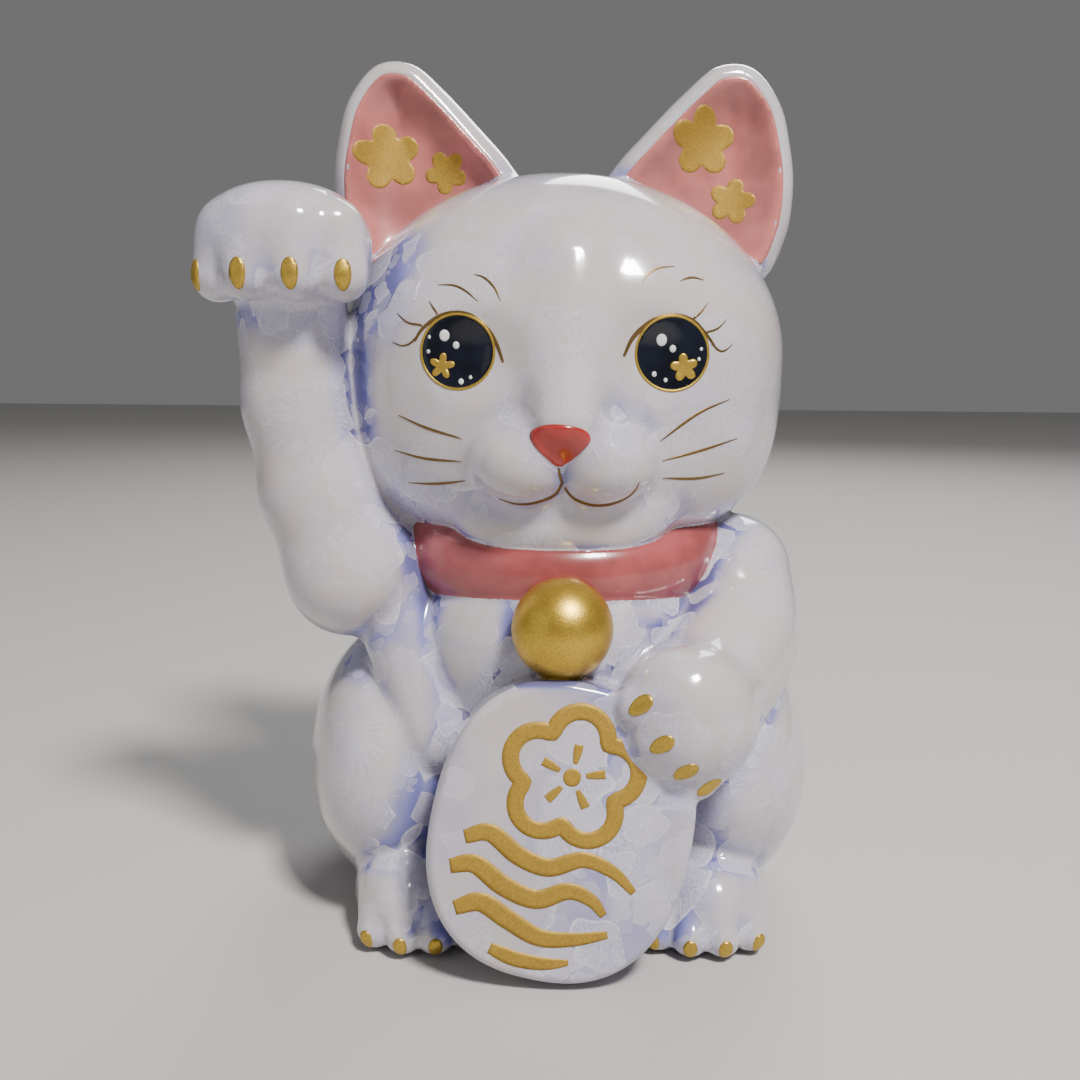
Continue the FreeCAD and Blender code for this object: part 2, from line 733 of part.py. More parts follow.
# check and write -------------------------------------------------------------------------------------
doc.recompute()
faults = [thing.Label for thing in doc.Objects if {"Invalid", "Error"} & set(thing.State)]
if faults:
    raise RuntimeError(f"these objects failed to build: {faults}")
os.makedirs("parts", exist_ok=True)
for old in os.listdir("parts"):
    os.remove(os.path.join("parts", old))
for piece in nodes:
    shape = piece.Shape
    if shape.isNull() or not shape.isValid() or not shape.Solids:
        raise RuntimeError(f"{piece.Label} is not a valid solid")
    shape.exportStep(os.path.join("parts", piece.Label + ".step"))
    print(f"{piece.Label:26s} {len(shape.Solids):2d} solids {shape.Volume:10.1f} mm3")
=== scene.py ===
import math

import bpy
import numpy as np
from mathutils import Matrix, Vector
from mathutils.geometry import delaunay_2d_cdt


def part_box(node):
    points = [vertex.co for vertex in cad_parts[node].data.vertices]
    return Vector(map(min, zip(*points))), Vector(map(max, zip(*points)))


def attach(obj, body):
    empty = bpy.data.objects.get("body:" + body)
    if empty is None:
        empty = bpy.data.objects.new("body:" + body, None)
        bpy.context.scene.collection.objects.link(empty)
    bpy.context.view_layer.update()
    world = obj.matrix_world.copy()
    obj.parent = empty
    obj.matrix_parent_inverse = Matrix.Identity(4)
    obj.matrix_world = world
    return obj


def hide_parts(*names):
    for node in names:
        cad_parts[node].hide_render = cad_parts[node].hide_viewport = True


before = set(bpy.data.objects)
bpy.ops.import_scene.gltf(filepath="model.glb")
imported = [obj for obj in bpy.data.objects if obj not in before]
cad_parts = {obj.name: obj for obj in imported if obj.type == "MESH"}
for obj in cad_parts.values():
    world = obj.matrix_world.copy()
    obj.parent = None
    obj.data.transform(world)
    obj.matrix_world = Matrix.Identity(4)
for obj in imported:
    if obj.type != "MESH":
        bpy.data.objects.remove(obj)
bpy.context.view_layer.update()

# Beckoning cat figurine in crystalline-glazed porcelain. Clay pieces are modelled as signed distances in
# millimetres, placed by the boxes of their CAD nodes, and turned into closed meshes that flow into each
# other at the joints. Enamel and gold are thin closed layers laid on the clay.

MM = 0.001
STEP = 1.15  # mesh grid, mm
RIGHT, LEFT = -1.0, 1.0  # the cat's own sides
SIDES = (("right", RIGHT), ("left", LEFT))


def vec(*xyz):
    return np.array(xyz, np.float32)


def span(node):
    """Low and high corner, mm, of a CAD node."""
    low, high = (np.array(corner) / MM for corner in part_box(node))
    return low.astype(np.float32), high.astype(np.float32)


def middle(node):
    """The middle, mm, of a CAD node's box."""
    low, high = span(node)
    return (low + high) / 2


# ---- signed distances -------------------------------------------------------------------------------


def egg(p, centre, radii):
    """Ellipsoid, distance to first order."""
    q = p - centre
    k0 = np.linalg.norm(q / radii, axis=1)
    k1 = np.linalg.norm(q / (radii * radii), axis=1)
    return k0 * (k0 - 1) / np.maximum(k1, 1e-6)


def limb(p, a, b, ra, rb):
    """Tapering round limb from a to b."""
    axis = b - a
    along = np.clip((p - a) @ axis / (axis @ axis), 0, 1)
    nearest = a + along[:, None] * axis
    return np.linalg.norm(p - nearest, axis=1) - (ra + (rb - ra) * along)


def limbs(p, bends):
    """The limbs from each bend (its middle and radius) to the next, one field each."""
    return [limb(p, a, b, ra, rb) for (a, ra), (b, rb) in zip(bends, bends[1:])]


def cushion(p, centre, radii, drop, around, up, down):
    """Squared-off ellipsoid. radii reach up to the top and drop down to the bottom; around, up and down
    are its powers: 2 is an ellipsoid and higher is squarer."""
    q = np.abs(p - centre)
    above = p[:, 2] > centre[2]
    tall = np.where(above, radii[2], drop)
    power = np.where(above, up, down)
    x, y, z = q[:, 0] / radii[0], q[:, 1] / radii[1], q[:, 2] / tall
    level = np.maximum((x**around + y**around) ** (1 / around), 1e-4)
    f = np.maximum((level**power + z**power) ** (1 / power), 1e-4)
    by_level = (level / f) ** (power - 1)
    slope_x = by_level * (x / level) ** (around - 1) / radii[0]
    slope_y = by_level * (y / level) ** (around - 1) / radii[1]
    slope_z = (z / f) ** (power - 1) / tall
    return (f - 1) / np.maximum(np.sqrt(slope_x**2 + slope_y**2 + slope_z**2), 1e-4)


def join(a, b, k):
    """Smooth union with a fillet of about k."""
    h = np.maximum(k - np.abs(a - b), 0) / k
    return np.minimum(a, b) - h * h * k / 4


def carve(a, b, k):
    """a less b, the edge softened by k."""
    return -join(-a, b, k)


def joined(k, *fields):
    out = fields[0]
    for field in fields[1:]:
        out = join(out, field, k)
    return out


def turned(p, centre, axis, degrees):
    """Points in a frame turned about an axis through centre, so a shape drawn straight is seen turned."""
    angle = math.radians(-degrees)
    axis = np.asarray(axis, np.float32)
    q = p - centre
    c, s = math.cos(angle), math.sin(angle)
    cross = np.cross(axis, q)
    return (q * c + cross * s + np.outer(q @ axis, axis) * (1 - c) + centre).astype(np.float32)


def outline_distance(points, outline):
    """Signed distance from 2-D points to a closed outline, negative inside."""
    best = np.full(len(points), 1e9, np.float32)
    inside = np.zeros(len(points), bool)
    for a, b in zip(outline, np.roll(outline, -1, 0)):
        edge = b - a
        along = np.clip(((points - a) @ edge) / max(float(edge @ edge), 1e-9), 0, 1)
        gap = points - a - along[:, None] * edge
        best = np.minimum(best, (gap * gap).sum(1))
        crosses = (a[1] > points[:, 1]) != (b[1] > points[:, 1])
        run = a[0] + (points[:, 1] - a[1]) * edge[0] / (edge[1] if edge[1] else 1e-9)
        inside ^= crosses & (points[:, 0] < run)
    return np.where(inside, -1, 1) * np.sqrt(best)


def between(p0, p1, p2, p3, t):
    """The point at t, 0 to 1, from p1 to p2 on the smooth curve through all four."""
    straight = 2 * p1 + (p2 - p0) * t
    square = (2 * p0 - 5 * p1 + 4 * p2 - p3) * t**2
    cube = (3 * p1 - p0 - 3 * p2 + p3) * t**3
    return 0.5 * (straight + square + cube)


def smooth_loop(points, per_side=6):
    """A closed curve through the points."""
    points = np.array(points, float)
    before, after, beyond = (np.roll(points, shift, 0) for shift in (1, -1, -2))
    out = [between(before, points, after, beyond, t) for t in np.arange(per_side) / per_side]
    return np.stack(out, 1).reshape(-1, 2).astype(np.float32)


def curve(points, steps=8):
    """An open curve through the points."""
    points = np.array(points, float)
    ends = np.concatenate([[2 * points[0] - points[1]], points, [2 * points[-1] - points[-2]]])
    out = []
    for four in zip(ends, ends[1:], ends[2:], ends[3:]):
        out += [between(*four, t) for t in np.arange(steps) / steps]
    return np.array(out + [points[-1]])


class Clay:
    """A clay piece: its field, the box it stays in and the fillet it makes with its neighbours."""

    REACH = 9.0

    def __init__(self, name, nodes, field, low, high, fillet):
        self.name, self.nodes, self.raw, self.fillet = name, nodes, field, fillet
        self.low, self.high = np.asarray(low, np.float32), np.asarray(high, np.float32)

    def field(self, p):
        """The piece's distance, exact near it and a lower bound far from it."""
        outside = np.maximum(np.maximum(self.low - p, p - self.high), 0)
        far = np.linalg.norm(outside, axis=1)
        out = far + self.REACH
        near = far < self.REACH
        if near.any():
            out[near] = self.raw(p[near])
        return out


CLAY = {}


def clay(name, nodes, low, high, fillet):
    """Registers the field that follows as a clay piece."""

    def take(field):
        CLAY[name] = Clay(name, nodes, field, low, high, fillet)
        return field

    return take


def luted(piece, others):
    """The piece's field with a fillet into each neighbour. Both pieces share the fillet up to the joint
    line, and beyond it each runs on inside the other, so the surface has no step and no gap."""

    def field(p):
        own = piece.field(p)
        out = own.copy()
        for other in others:
            k = min(piece.fillet, other.fillet)
            theirs = other.field(p)
            past = np.clip(own - theirs, 0, k)
            out = np.minimum(out, join(own, theirs, k) + past * past / k)
        return out

    return field


def figure(p):
    """Distance to the whole clay figure."""
    out = np.full(len(p), 1e3, np.float32)
    fields = [(piece, piece.field(p)) for piece in CLAY.values()]
    for i, (piece, own) in enumerate(fields):
        out = np.minimum(out, own)
        for other, theirs in fields[i + 1 :]:
            k = min(piece.fillet, other.fillet)
            near = np.abs(own - theirs) < k
            near &= np.minimum(own, theirs) < out + k
            if near.any():
                out[near] = np.minimum(out[near], join(own[near], theirs[near], k))
    return out


def gradient(field, p, reach=0.15):
    """Unit direction of steepest rise, from four samples on a tetrahedron."""
    total = np.zeros_like(p)
    for corner in ((1, 1, 1), (1, -1, -1), (-1, 1, -1), (-1, -1, 1)):
        way = vec(*corner)
        total += way * field(p + way * reach)[:, None]
    return total / np.maximum(np.linalg.norm(total, axis=1), 1e-9)[:, None]


# ---- meshes -----------------------------------------------------------------------------------------


def surface_net(field, low, high, step):
    """Vertices and quads of the closed surface where field is 0."""
    counts = np.ceil((high - low) / step).astype(int) + 1
    axes = [low[i] + step * np.arange(counts[i]) for i in range(3)]
    grid = np.stack(np.meshgrid(*axes, indexing="ij"), -1).reshape(-1, 3).astype(np.float32)
    values = np.concatenate([field(part) for part in np.array_split(grid, len(grid) // 200000 + 1)])
    values = values.reshape(counts)
    inside = values < 0
    cells = counts - 1

    def corner(array, offset):
        i, j, k = offset
        return array[i : i + cells[0], j : j + cells[1], k : k + cells[2]]

    offsets = [(i, j, k) for i in (0, 1) for j in (0, 1) for k in (0, 1)]
    held = sum(corner(inside, o).astype(np.int8) for o in offsets)
    active = (held > 0) & (held < 8)
    where = np.argwhere(active)
    total, crossings = np.zeros((len(where), 3)), np.zeros(len(where))
    for a in offsets:
        for axis in range(3):
            if a[axis]:
                continue
            b = tuple(v + (i == axis) for i, v in enumerate(a))
            va, vb = corner(values, a)[active], corner(values, b)[active]
            cut = (va < 0) != (vb < 0)
            t = va[cut] / (va[cut] - vb[cut])
            place = np.tile(np.array(a, float), (cut.sum(), 1))
            place[:, axis] += t
            total[cut] += place
            crossings[cut] += 1
    points = low + step * (where + total / crossings[:, None])
    index = np.full(cells, -1)
    index[active] = np.arange(len(where))
    quads = []
    for axis in range(3):
        u, v = (axis + 1) % 3, (axis + 2) % 3
        lower = [slice(None)] * 3
        upper = [slice(None)] * 3
        lower[axis], upper[axis] = slice(0, -1), slice(1, None)
        a, b = inside[tuple(lower)], inside[tuple(upper)]
        edges = np.argwhere(a != b)
        edges = edges[(edges[:, u] > 0) & (edges[:, v] > 0)]
        edges = edges[(edges[:, u] < cells[u]) & (edges[:, v] < cells[v])]
        around = []
        for du, dv in ((1, 1), (0, 1), (0, 0), (1, 0)):
            cell = edges.copy()
            cell[:, u] -= du
            cell[:, v] -= dv
            around.append(index[tuple(cell.T)])
        quad = np.stack(around, 1)
        outward = a[tuple(edges.T)]
        quad[~outward] = quad[~outward][:, ::-1]
        quads.append(quad)
    return points.astype(np.float32), np.concatenate(quads)


def edges_of(quads):
    pairs = np.stack([quads, np.roll(quads, -1, 1)], -1).reshape(-1, 2)
    return np.unique(np.sort(pairs, 1), axis=0, return_inverse=True)


def relax(points, quads, field):
    """Evens out the quads along the surface."""
    pairs, _ = edges_of(quads)
    total, count = np.zeros_like(points), np.zeros(len(points))
    for a, b in (pairs.T, pairs.T[::-1]):
        np.add.at(total, a, points[b])
        np.add.at(count, a, 1)
    moved = points + 0.5 * (total / count[:, None] - points)
    return settle(moved.astype(np.float32), field, 2)


def settle(points, field, rounds):
    """Moves points onto the surface."""
    for _ in range(rounds):
        gap = np.clip(field(points), -STEP, STEP)
        points = points - gradient(field, points) * gap[:, None]
    return points


def halve(points, quads):
    """Each quad becomes four."""
    pairs, which = edges_of(quads)
    mid_index = len(points) + which.reshape(-1, 4)
    centre_index = np.repeat((len(points) + len(pairs) + np.arange(len(quads)))[:, None], 4, 1)
    finer = np.stack([quads, mid_index, centre_index, np.roll(mid_index, 1, 1)], -1)
    middles, centres = points[pairs].mean(1), points[quads].mean(1)
    return np.concatenate([points, middles, centres]), finer.reshape(-1, 4)


def make_object(name, points, faces, finish, nodes=(), normals=None, fields=()):
    """A mesh object from points in mm, on the root body. finish is its material and a slot name, and the slot
    name is not used.
    """
    material, slot = finish
    mesh = bpy.data.meshes.new(name)
    mesh.from_pydata((points * MM).tolist(), [], [list(map(int, f)) for f in faces])
    mesh.update()
    mesh.shade_smooth()
    for label, values in fields:
        mesh.attributes.new(label, "FLOAT", "POINT").data.foreach_set("value", values.astype(np.float32))
    if normals is not None:
        mesh.normals_split_custom_set_from_vertices(normals.tolist())
    thing = bpy.data.objects.new(name, mesh)
    bpy.context.scene.collection.objects.link(thing)
    mesh.materials.append(material)
    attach(thing, "root")
    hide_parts(*nodes)
    return thing


# How deep in a hollow each point sits sets both the lavender of pooled glaze and the painted shade in the
# creases.
POOL_AND_SHADE_REACHES = ((1.6, 0.30), (5.0, 0.42), (11.0, 0.34))  # how far out to feel for clay, mm, and its share
THIN_DEPTH = 2.2  # how far in to feel for the edge of the clay, mm
CONTRAST = 1.5
WETTER = {"koban_clay": 0.26, "torso_body": 0.14}  # glaze runs down onto these


def pooling_and_shade(points, normals):
    """How deep in a hollow each point sits (0 to 1), which sets where glaze runs together and the painted
    shade in the creases, and where the glaze draws thin (0 to 1).
    """
    pool_and_shade = np.zeros(len(points), np.float32)
    for reach, share in POOL_AND_SHADE_REACHES:
        seen = figure(points + normals * reach) / reach
        pool_and_shade += share * np.clip((1 - seen) * CONTRAST, 0, 1)
    thin = 1 + figure(points - normals * THIN_DEPTH) / THIN_DEPTH
    return pool_and_shade, np.clip(thin * CONTRAST, 0, 1).astype(np.float32)


def sculpt(piece, finish):
    """The mesh of a clay piece, with its fillets, its smooth normals, how its glaze runs and where its
    creases get painted shade.
    """
    others = [
        other
        for other in CLAY.values()
        if other is not piece
        and (other.low - 4 < piece.high).all()
        and (other.high + 4 > piece.low).all()
    ]
    field = luted(piece, others)
    margin = 3 * STEP + piece.fillet / 3
    points, quads = surface_net(field, piece.low - margin, piece.high + margin, STEP)
    points = settle(points, field, 2)
    for _ in range(3):
        points = relax(points, quads, field)
    points, quads = halve(points, quads)
    points = settle(points, field, 2)
    normals = gradient(field, points)
    pool_and_shade, thin = pooling_and_shade(points, normals)
    pool_and_shade += WETTER.get(piece.name, 0.0)
    return make_object(
        piece.name, points, quads, finish, piece.nodes, normals, (("pool_and_shade", pool_and_shade), ("thin", thin))
    )


# ---- clay pieces ------------------------------------------------------------------------------------


def box_of(centre, reach):
    """Low and high corner of the box round centre."""
    return centre - reach, centre + reach


def level_base(p, field, k=1.6):
    """Cuts a field off at the shelf."""
    return carve(field, p[:, 2] - FLOOR, k)


torso_low, torso_high = span("torso_shell")
FLOOR = torso_low[2]
TORSO = vec(0, (torso_low[1] + torso_high[1]) / 2, FLOOR)
bell_middle = middle("bell")
SKULL = middle("head_shell") + vec(0, 4.2, -1.5)


@clay("torso_body", ("torso_shell",), torso_low, torso_high + vec(0, 0, 2), 4.0)
def torso(p):
    hips = egg(p, TORSO + vec(0, 1.5, 21), vec(43, 41, 33))
    belly = egg(p, TORSO + vec(0, -0.5, 47), vec(39.5, 38.5, 36))
    neck = limb(p, TORSO + vec(0, -1, 66), TORSO + vec(0, -5, 84), 33, 24)
    whole = joined(9.0, hips, belly, neck)
    chest = egg(p, TORSO + vec(0, -17, 58.5), vec(31, 25.5, 25))
    whole = join(whole, chest, 3.0)
    for _, side in SIDES:
        top, low = vec(side * 35.5, -17.5, 70), vec(side * 25, -28.5, 42)
        whole = join(whole, limb(p, TORSO + top, TORSO + low, 9.8, 9.4), 1.9)
    whole = level_base(p, whole)
    plate = np.maximum(np.hypot(p[:, 0], p[:, 1] - TORSO[1]) - 36.2, p[:, 2] - FLOOR - 4.1)
    hollow = egg(p, TORSO + vec(0, 2, 34), vec(29, 29, 33))
    return carve(whole, np.minimum(plate, hollow), 0.3)


for label, side in SIDES:
    haunch = TORSO + vec(side * 36.2, -4, 30)

    @clay(f"{label}_haunch", (), *box_of(haunch, vec(20.5, 37.5, 30)), 2.4)
    def haunches(p, haunch=haunch, side=side):
        thigh = egg(p, haunch, vec(19.6, 36.0, 28.5))
        return level_base(p, thigh)


def toed_paw(p, body, toes, radius, k):
    """A paw: its body and toes that run out of it."""
    out = body
    for start, tip, width in toes:
        out = join(out, limb(p, start, tip, width * radius, radius), k)
    return out


# Each hind toe: across from the paw's middle, forward, how far it splays and which way its claw turns.
HIND_TOES = (
    (-9.6, -11.0, -0.8, -0.5),
    (-4.1, -13.4, -0.4, -0.1),
    (1.6, -13.4, 0.2, 0.1),
    (6.9, -11.0, 0.7, 0.5),
)
HIND_SHIFT = {"right": 2.2, "left": -0.6}  # the toes of the two paws aren't quite alike


def hind_foot(label, side):
    return middle(f"{label}_hind_paw") * vec(1, 1, 0) + vec(-side * 1.3, 3.0, FLOOR)


for label, side in SIDES:
    foot = hind_foot(label, side)
    toe_row = foot + vec(HIND_SHIFT[label], 0, 0)
    hind_toes = [
        (toe_row + vec(side * x * 0.95, -6.0, 11.5), toe_row + vec(side * (x + lean), y, 4.3), 1.12)
        for x, y, lean, _ in HIND_TOES
    ]

    @clay(f"{label}_hind_paw_clay", (f"{label}_hind_paw",), *box_of(foot, vec(15, 21, 23)), 2.6)
    def hind_paws(p, foot=foot, toes=hind_toes):
        body = egg(p, foot + vec(0, 1, 8.5), vec(11.4, 16.5, 11.0))
        return level_base(p, toed_paw(p, body, toes, 3.9, 1.5), 1.2)


@clay("head_clay", ("head_shell",), *box_of(SKULL, vec(50, 47, 45)), 2.4)
def head(p):
    whole = cushion(p, SKULL, vec(47.2, 36.0, 38.2), 40.5, 2.25, 2.0, 3.1)
    q = p.copy()
    q[:, 0] = np.abs(q[:, 0] - SKULL[0])  # the face is the same on both sides
    q[:, 1:] -= SKULL[1:]
    socket = egg(q, vec(19.5, -45.0, 0.5), vec(12.5, 12.3, 11.0))
    whole = carve(whole, socket, 5.0)
    bridge = limb(q, vec(0, -25.2, 16.0), vec(0, -37.2, -12.5), 8.2, 6.4)
    whole = join(whole, bridge, 5.0)
    chin = egg(q, vec(0, -24.8, -32.2), vec(20.5, 9.2, 10.0))
    whole = join(whole, chin, 5.0)
    lobe = egg(q, vec(7.6, -32.4, -20.2), vec(9.8, 8.8, 7.9))
    return join(whole, lobe, 4.0)


# The left ear from the front, in mm outward and up from its middle.
ear_inner_side = [(-20.4, 1.9), (-14.4, 8.5), (-5.9, 17.1), (0.8, 22.3)]
ear_outer_side = [(8.4, 22.0), (14.4, 15.0), (17.0, 6.0), (18.0, -3.0), (16.6, -13.5)]
ear_root = [(11.2, -22.5), (-3.8, -24.5), (-19.8, -12.5), (-23.8, -4.5)]
EAR_OUTLINE = smooth_loop(ear_inner_side + ear_outer_side + ear_root)
EAR_RIM, EAR_CUP = 2.7, 6.6  # width of its white rim and depth of its cup


def ear_thickness(height):
    """Half the thickness of an ear, which thins towards its tip."""
    return np.clip(6.0 - 0.1 * height, 3.6, 8.0)


def ear_middle(label):
    return middle(f"{label}_ear") - vec(0, 1.5, 0)


for label, side in SIDES:

    @clay(f"{label}_ear_clay", (f"{label}_ear",), *box_of(ear_middle(label), vec(25, 9, 26)), 2.0)
    def ears(p, side=side, centre=ear_middle(label)):
        q = p - centre
        flat = outline_distance(np.stack([q[:, 0] * side, q[:, 2]], 1), EAR_OUTLINE)
        thick = ear_thickness(q[:, 2])
        blade = np.hypot(np.maximum(flat + thick, 0), q[:, 1]) - thick
        inward = -(flat + EAR_RIM)
        depth = EAR_CUP * (1 - np.exp(-((np.maximum(inward, 0) / 5.0) ** 1.5)))
        cup = 0.8 * np.maximum(q[:, 1] + thick - depth, -inward)
        return carve(blade, cup, 1.2)


FORELEG = middle("raised_foreleg")
WRIST = FORELEG + vec(-7.4, -10.0, 26.5)


@clay("raised_foreleg_clay", ("raised_foreleg",), *box_of(FORELEG, vec(24, 28, 43)), 3.0)
def raised_foreleg(p):
    elbow = FORELEG + vec(3.4, -7.5, -25.0)
    bends = (
        (WRIST + vec(0.2, 0, 2), 11.0),
        (WRIST + vec(0.6, 1, -17), 10.5),
        (WRIST + vec(4.2, 2, -35), 11.4),
        (elbow, 13.3),
    )
    upper = limb(p, elbow, FORELEG + vec(16.0, 4.0, -25.0), 13.0, 12.0)
    return joined(3.0, *limbs(p, bends), upper)


PAW = middle("raised_paw")
RAISED_TOES = [
    (PAW + vec(x * 0.9, -5.4 + inset, 3.0), PAW + vec(x, -7.2 + inset, -6.2), width)
    for x, inset, width in ((-12.2, 5.0, 0.95), (-5.3, 0.6, 1.0), (3.6, 0.0, 1.04), (12.0, 2.6, 1.0))
]


@clay("raised_paw_clay", ("raised_paw",), *box_of(PAW, vec(20, 20, 16)), 2.0)
def raised_paw(p):
    body = cushion(p, PAW + vec(-0.4, 2.2, 0.2), vec(16.8, 13.0, 11.8), 11.2, 2.15, 2.15, 2.7)
    return toed_paw(p, body, RAISED_TOES, 4.9, 1.9)


ARM = middle("resting_foreleg")
REST_PAW = ARM + vec(-4.8, -22.0, -10.2)
ACROSS, AHEAD = vec(0.6, 0, -0.8), vec(-0.8, 0, -0.6)  # across the toes, and the way that they point
REST_TOES = [
    (
        REST_PAW + ACROSS * row * 0.65 - AHEAD * 3.0 + vec(0, -1.8 + sink, 0),
        REST_PAW + ACROSS * row + AHEAD * ahead + vec(0, -2.6 + sink, 0),
        1.1,
    )
    for row, ahead, sink in ((-8.6, 8.0, 1.2), (-1.8, 8.8, 0.2), (4.4, 8.4, 0.6), (9.4, 7.2, 2.4))
]


@clay("resting_foreleg_clay", ("resting_foreleg",), *box_of(ARM, vec(27, 40, 32)), 1.7)
def resting_foreleg(p):
    shoulder, elbow = (6.8, 17.0, 9.4, 13.5), (5.9, 5.0, -2.5, 13.6)  # place and radius
    wrist, palm = (-4.6, -12.5, -11.0, 12.9), (-7.0, -16.8, -12.0, 12.1)
    bends = [(ARM + bend[:3], bend[3]) for bend in curve((shoulder, elbow, wrist, palm), 5)]
    sweep = np.min(limbs(p, bends), axis=0)
    q = p - REST_PAW
    local = np.stack([q @ ACROSS, q[:, 1], q @ AHEAD], 1)
    back = egg(local, vec(-1.0, 0.8, 1.8), vec(12.8, 8.6, 11.2))
    body = join(sweep, back, 7.0)
    return toed_paw(p, body, REST_TOES, 4.5, 1.2)


COLLAR = middle("collar_band") + vec(0, 0, 2.2)
COLLAR_DIP, COLLAR_RADIUS = 12.4, 31.6  # degrees that its front hangs by, and the ring's radius


@clay("collar_clay", ("collar_band",), *box_of(COLLAR, vec(40, 40, 15)), 0.8)
def collar(p):
    q = turned(p, COLLAR, (1, 0, 0), COLLAR_DIP) - COLLAR
    ring = np.hypot(q[:, 0], q[:, 1] * 1.02) - COLLAR_RADIUS
    local = np.stack([ring, q[:, 2], np.zeros(len(q))], 1)
    return egg(local, vec(-1.0, -0.9, 0), vec(6.0, 8.3, 6.0))


@clay("bell_clay", ("bell",), *box_of(bell_middle, vec(12, 14, 12)), 0.5)
def bell(p):
    return egg(p, bell_middle + vec(0, 0.7, -0.2), vec(9.7, 9.6, 9.7))


TABLET = middle("koban_tablet")
TABLET_LEAN, TABLET_ROLL = 6.5, 12.0  # degrees back and sideways
TABLET_HALF = vec(24.6, 5.6, 28.6)
TABLET_POWER, TABLET_EDGE, TABLET_DOME = 2.4, 1.9, 0.8  # outline's power, edge radius and rise of the face


def tablet_frame(p):
    """Points in the tablet's own axes: across, out of its face and along."""
    q = turned(p, TABLET, (1, 0, 0), -TABLET_LEAN)
    return turned(q, TABLET, (0, 1, 0), TABLET_ROLL) - TABLET


@clay("koban_clay", ("koban_tablet",), *box_of(TABLET, vec(28, 14, 31)), 1.6)
def koban(p):
    q = tablet_frame(p)
    power, rounding = TABLET_POWER, TABLET_EDGE
    x, z = np.abs(q[:, 0]) / TABLET_HALF[0], np.abs(q[:, 2]) / TABLET_HALF[2]
    f = np.maximum((x**power + z**power) ** (1 / power), 1e-4)
    slope = np.hypot((x / f) ** (power - 1) / TABLET_HALF[0], (z / f) ** (power - 1) / TABLET_HALF[2])
    edge = (f - 1) / np.maximum(slope, 1e-4)
    dome = TABLET_DOME * (1 - np.clip(f, 0, 1) ** 2)
    a = edge + rounding
    b = np.abs(q[:, 1]) - (TABLET_HALF[1] - rounding + dome)
    plate = np.hypot(np.maximum(a, 0), np.maximum(b, 0)) + np.minimum(np.maximum(a, b), 0) - rounding
    return level_base(p, plate, 1.0)


@clay("bob_tail_clay", ("bob_tail",), *box_of(middle("bob_tail"), vec(16, 13, 12)), 3.0)
def bob_tail(p):
    return egg(p, middle("bob_tail") + vec(0, -2, 0), vec(12.5, 8.2, 9.2))


# ---- flat shapes, in mm on the plane of a painted layer ------------------------------------------------


def brush(points, width, start=0.25, end=0.12, fullest=0.4, closed=False):
    """A brush stroke: points along it and its greatest width. start and end are the widths at its ends as
    shares of that, and fullest is where along it the stroke is widest."""
    path = np.array(points, float) if closed else curve(points)
    if closed:
        along = np.roll(path, -1, 0) - np.roll(path, 1, 0)
        half = np.full(len(path), width / 2)
    else:
        along = np.gradient(path, axis=0)
        t = np.linspace(0, 1, len(path))
        rise = np.sin(np.clip(t / fullest, 0, 1) * np.pi / 2)
        fall = np.cos(np.clip((t - fullest) / (1 - fullest), 0, 1) * np.pi / 2) ** 0.8
        share = np.where(t < fullest, start + (1 - start) * rise, end + (1 - end) * fall)
        half = share * width / 2
    across = np.stack([-along[:, 1], along[:, 0]], 1)
    across /= np.maximum(np.linalg.norm(across, axis=1), 1e-9)[:, None]
    columns = (-1.0, -0.5, 0.0, 0.5, 1.0)
    rows = [path + across * (half * c)[:, None] for c in columns]
    count = len(path)
    faces = []
    for i in range(count if closed else count - 1):
        j = (i + 1) % count
        faces += [(c * count + i, (c + 1) * count + i, (c + 1) * count + j, c * count + j) for c in range(4)]
    return np.concatenate(rows), [face[::-1] for face in faces]


def filled(outline, spacing=0.7):
    """A closed outline filled with triangles."""
    outline = np.array(outline, float)
    low, high = outline.min(0), outline.max(0)
    across, up = np.meshgrid(np.arange(low[0], high[0], spacing), np.arange(low[1], high[1], spacing))
    inner = np.stack([across.ravel(), up.ravel()], 1).astype(np.float32)
    inner[:, 0] += 0.25 * spacing * np.sin(inner[:, 1] * 9)
    inner = inner[outline_distance(inner, outline.astype(np.float32)) < -0.4 * spacing]
    spots = [Vector(map(float, spot)) for spot in np.concatenate([outline, inner])]
    points, _, faces, *_ = delaunay_2d_cdt(spots, [], [list(range(len(outline)))], 1, 1e-5)
    points = np.array([tuple(point) for point in points])
    ordered = []
    for face in faces:
        corners = points[list(face)[:3]]
        (ax, ay), (bx, by) = corners[1] - corners[0], corners[2] - corners[0]
        ordered.append(tuple(face) if ax * by - ay * bx > 0 else tuple(face)[::-1])
    return points, ordered


def oval(x, y, half_width, half_height, count, taper=0.0):
    """A closed oval, narrower towards its lower end by taper."""
    angle = np.linspace(0, 2 * np.pi, count, endpoint=False)
    across = half_width * np.cos(angle) * (1 + taper * np.sin(angle))
    up = half_height * np.sin(angle)
    return np.stack([x + across, y + up], 1)


def petals(x, y, radius, turn=0.0, waist=0.55, round_off=0.66, count=80):
    """A five-petalled outline."""
    angle = np.linspace(0, 2 * np.pi, count, endpoint=False)
    lobe = (np.cos(2.5 * angle) ** 2 + 0.012) ** (round_off / 2)
    reach = radius * (waist + (1 - waist) * lobe)
    angle = angle + math.radians(turn)
    return np.stack([x + reach * np.sin(angle), y + reach * np.cos(angle)], 1)


def facing(shape, side):
    """A shape drawn for the left side, mirrored where side is the right."""
    points, faces = shape
    return np.array(points) * (side, 1), faces if side > 0 else [face[::-1] for face in faces]


def land(spots, out, field):
    """Where points that travel against out meet the clay."""
    gone = np.zeros(len(spots), np.float32)
    for _ in range(60):
        gone += np.clip(field(spots - out * gone[:, None]), -2.0, 4.0) * 0.85
    return spots - out * gone[:, None]


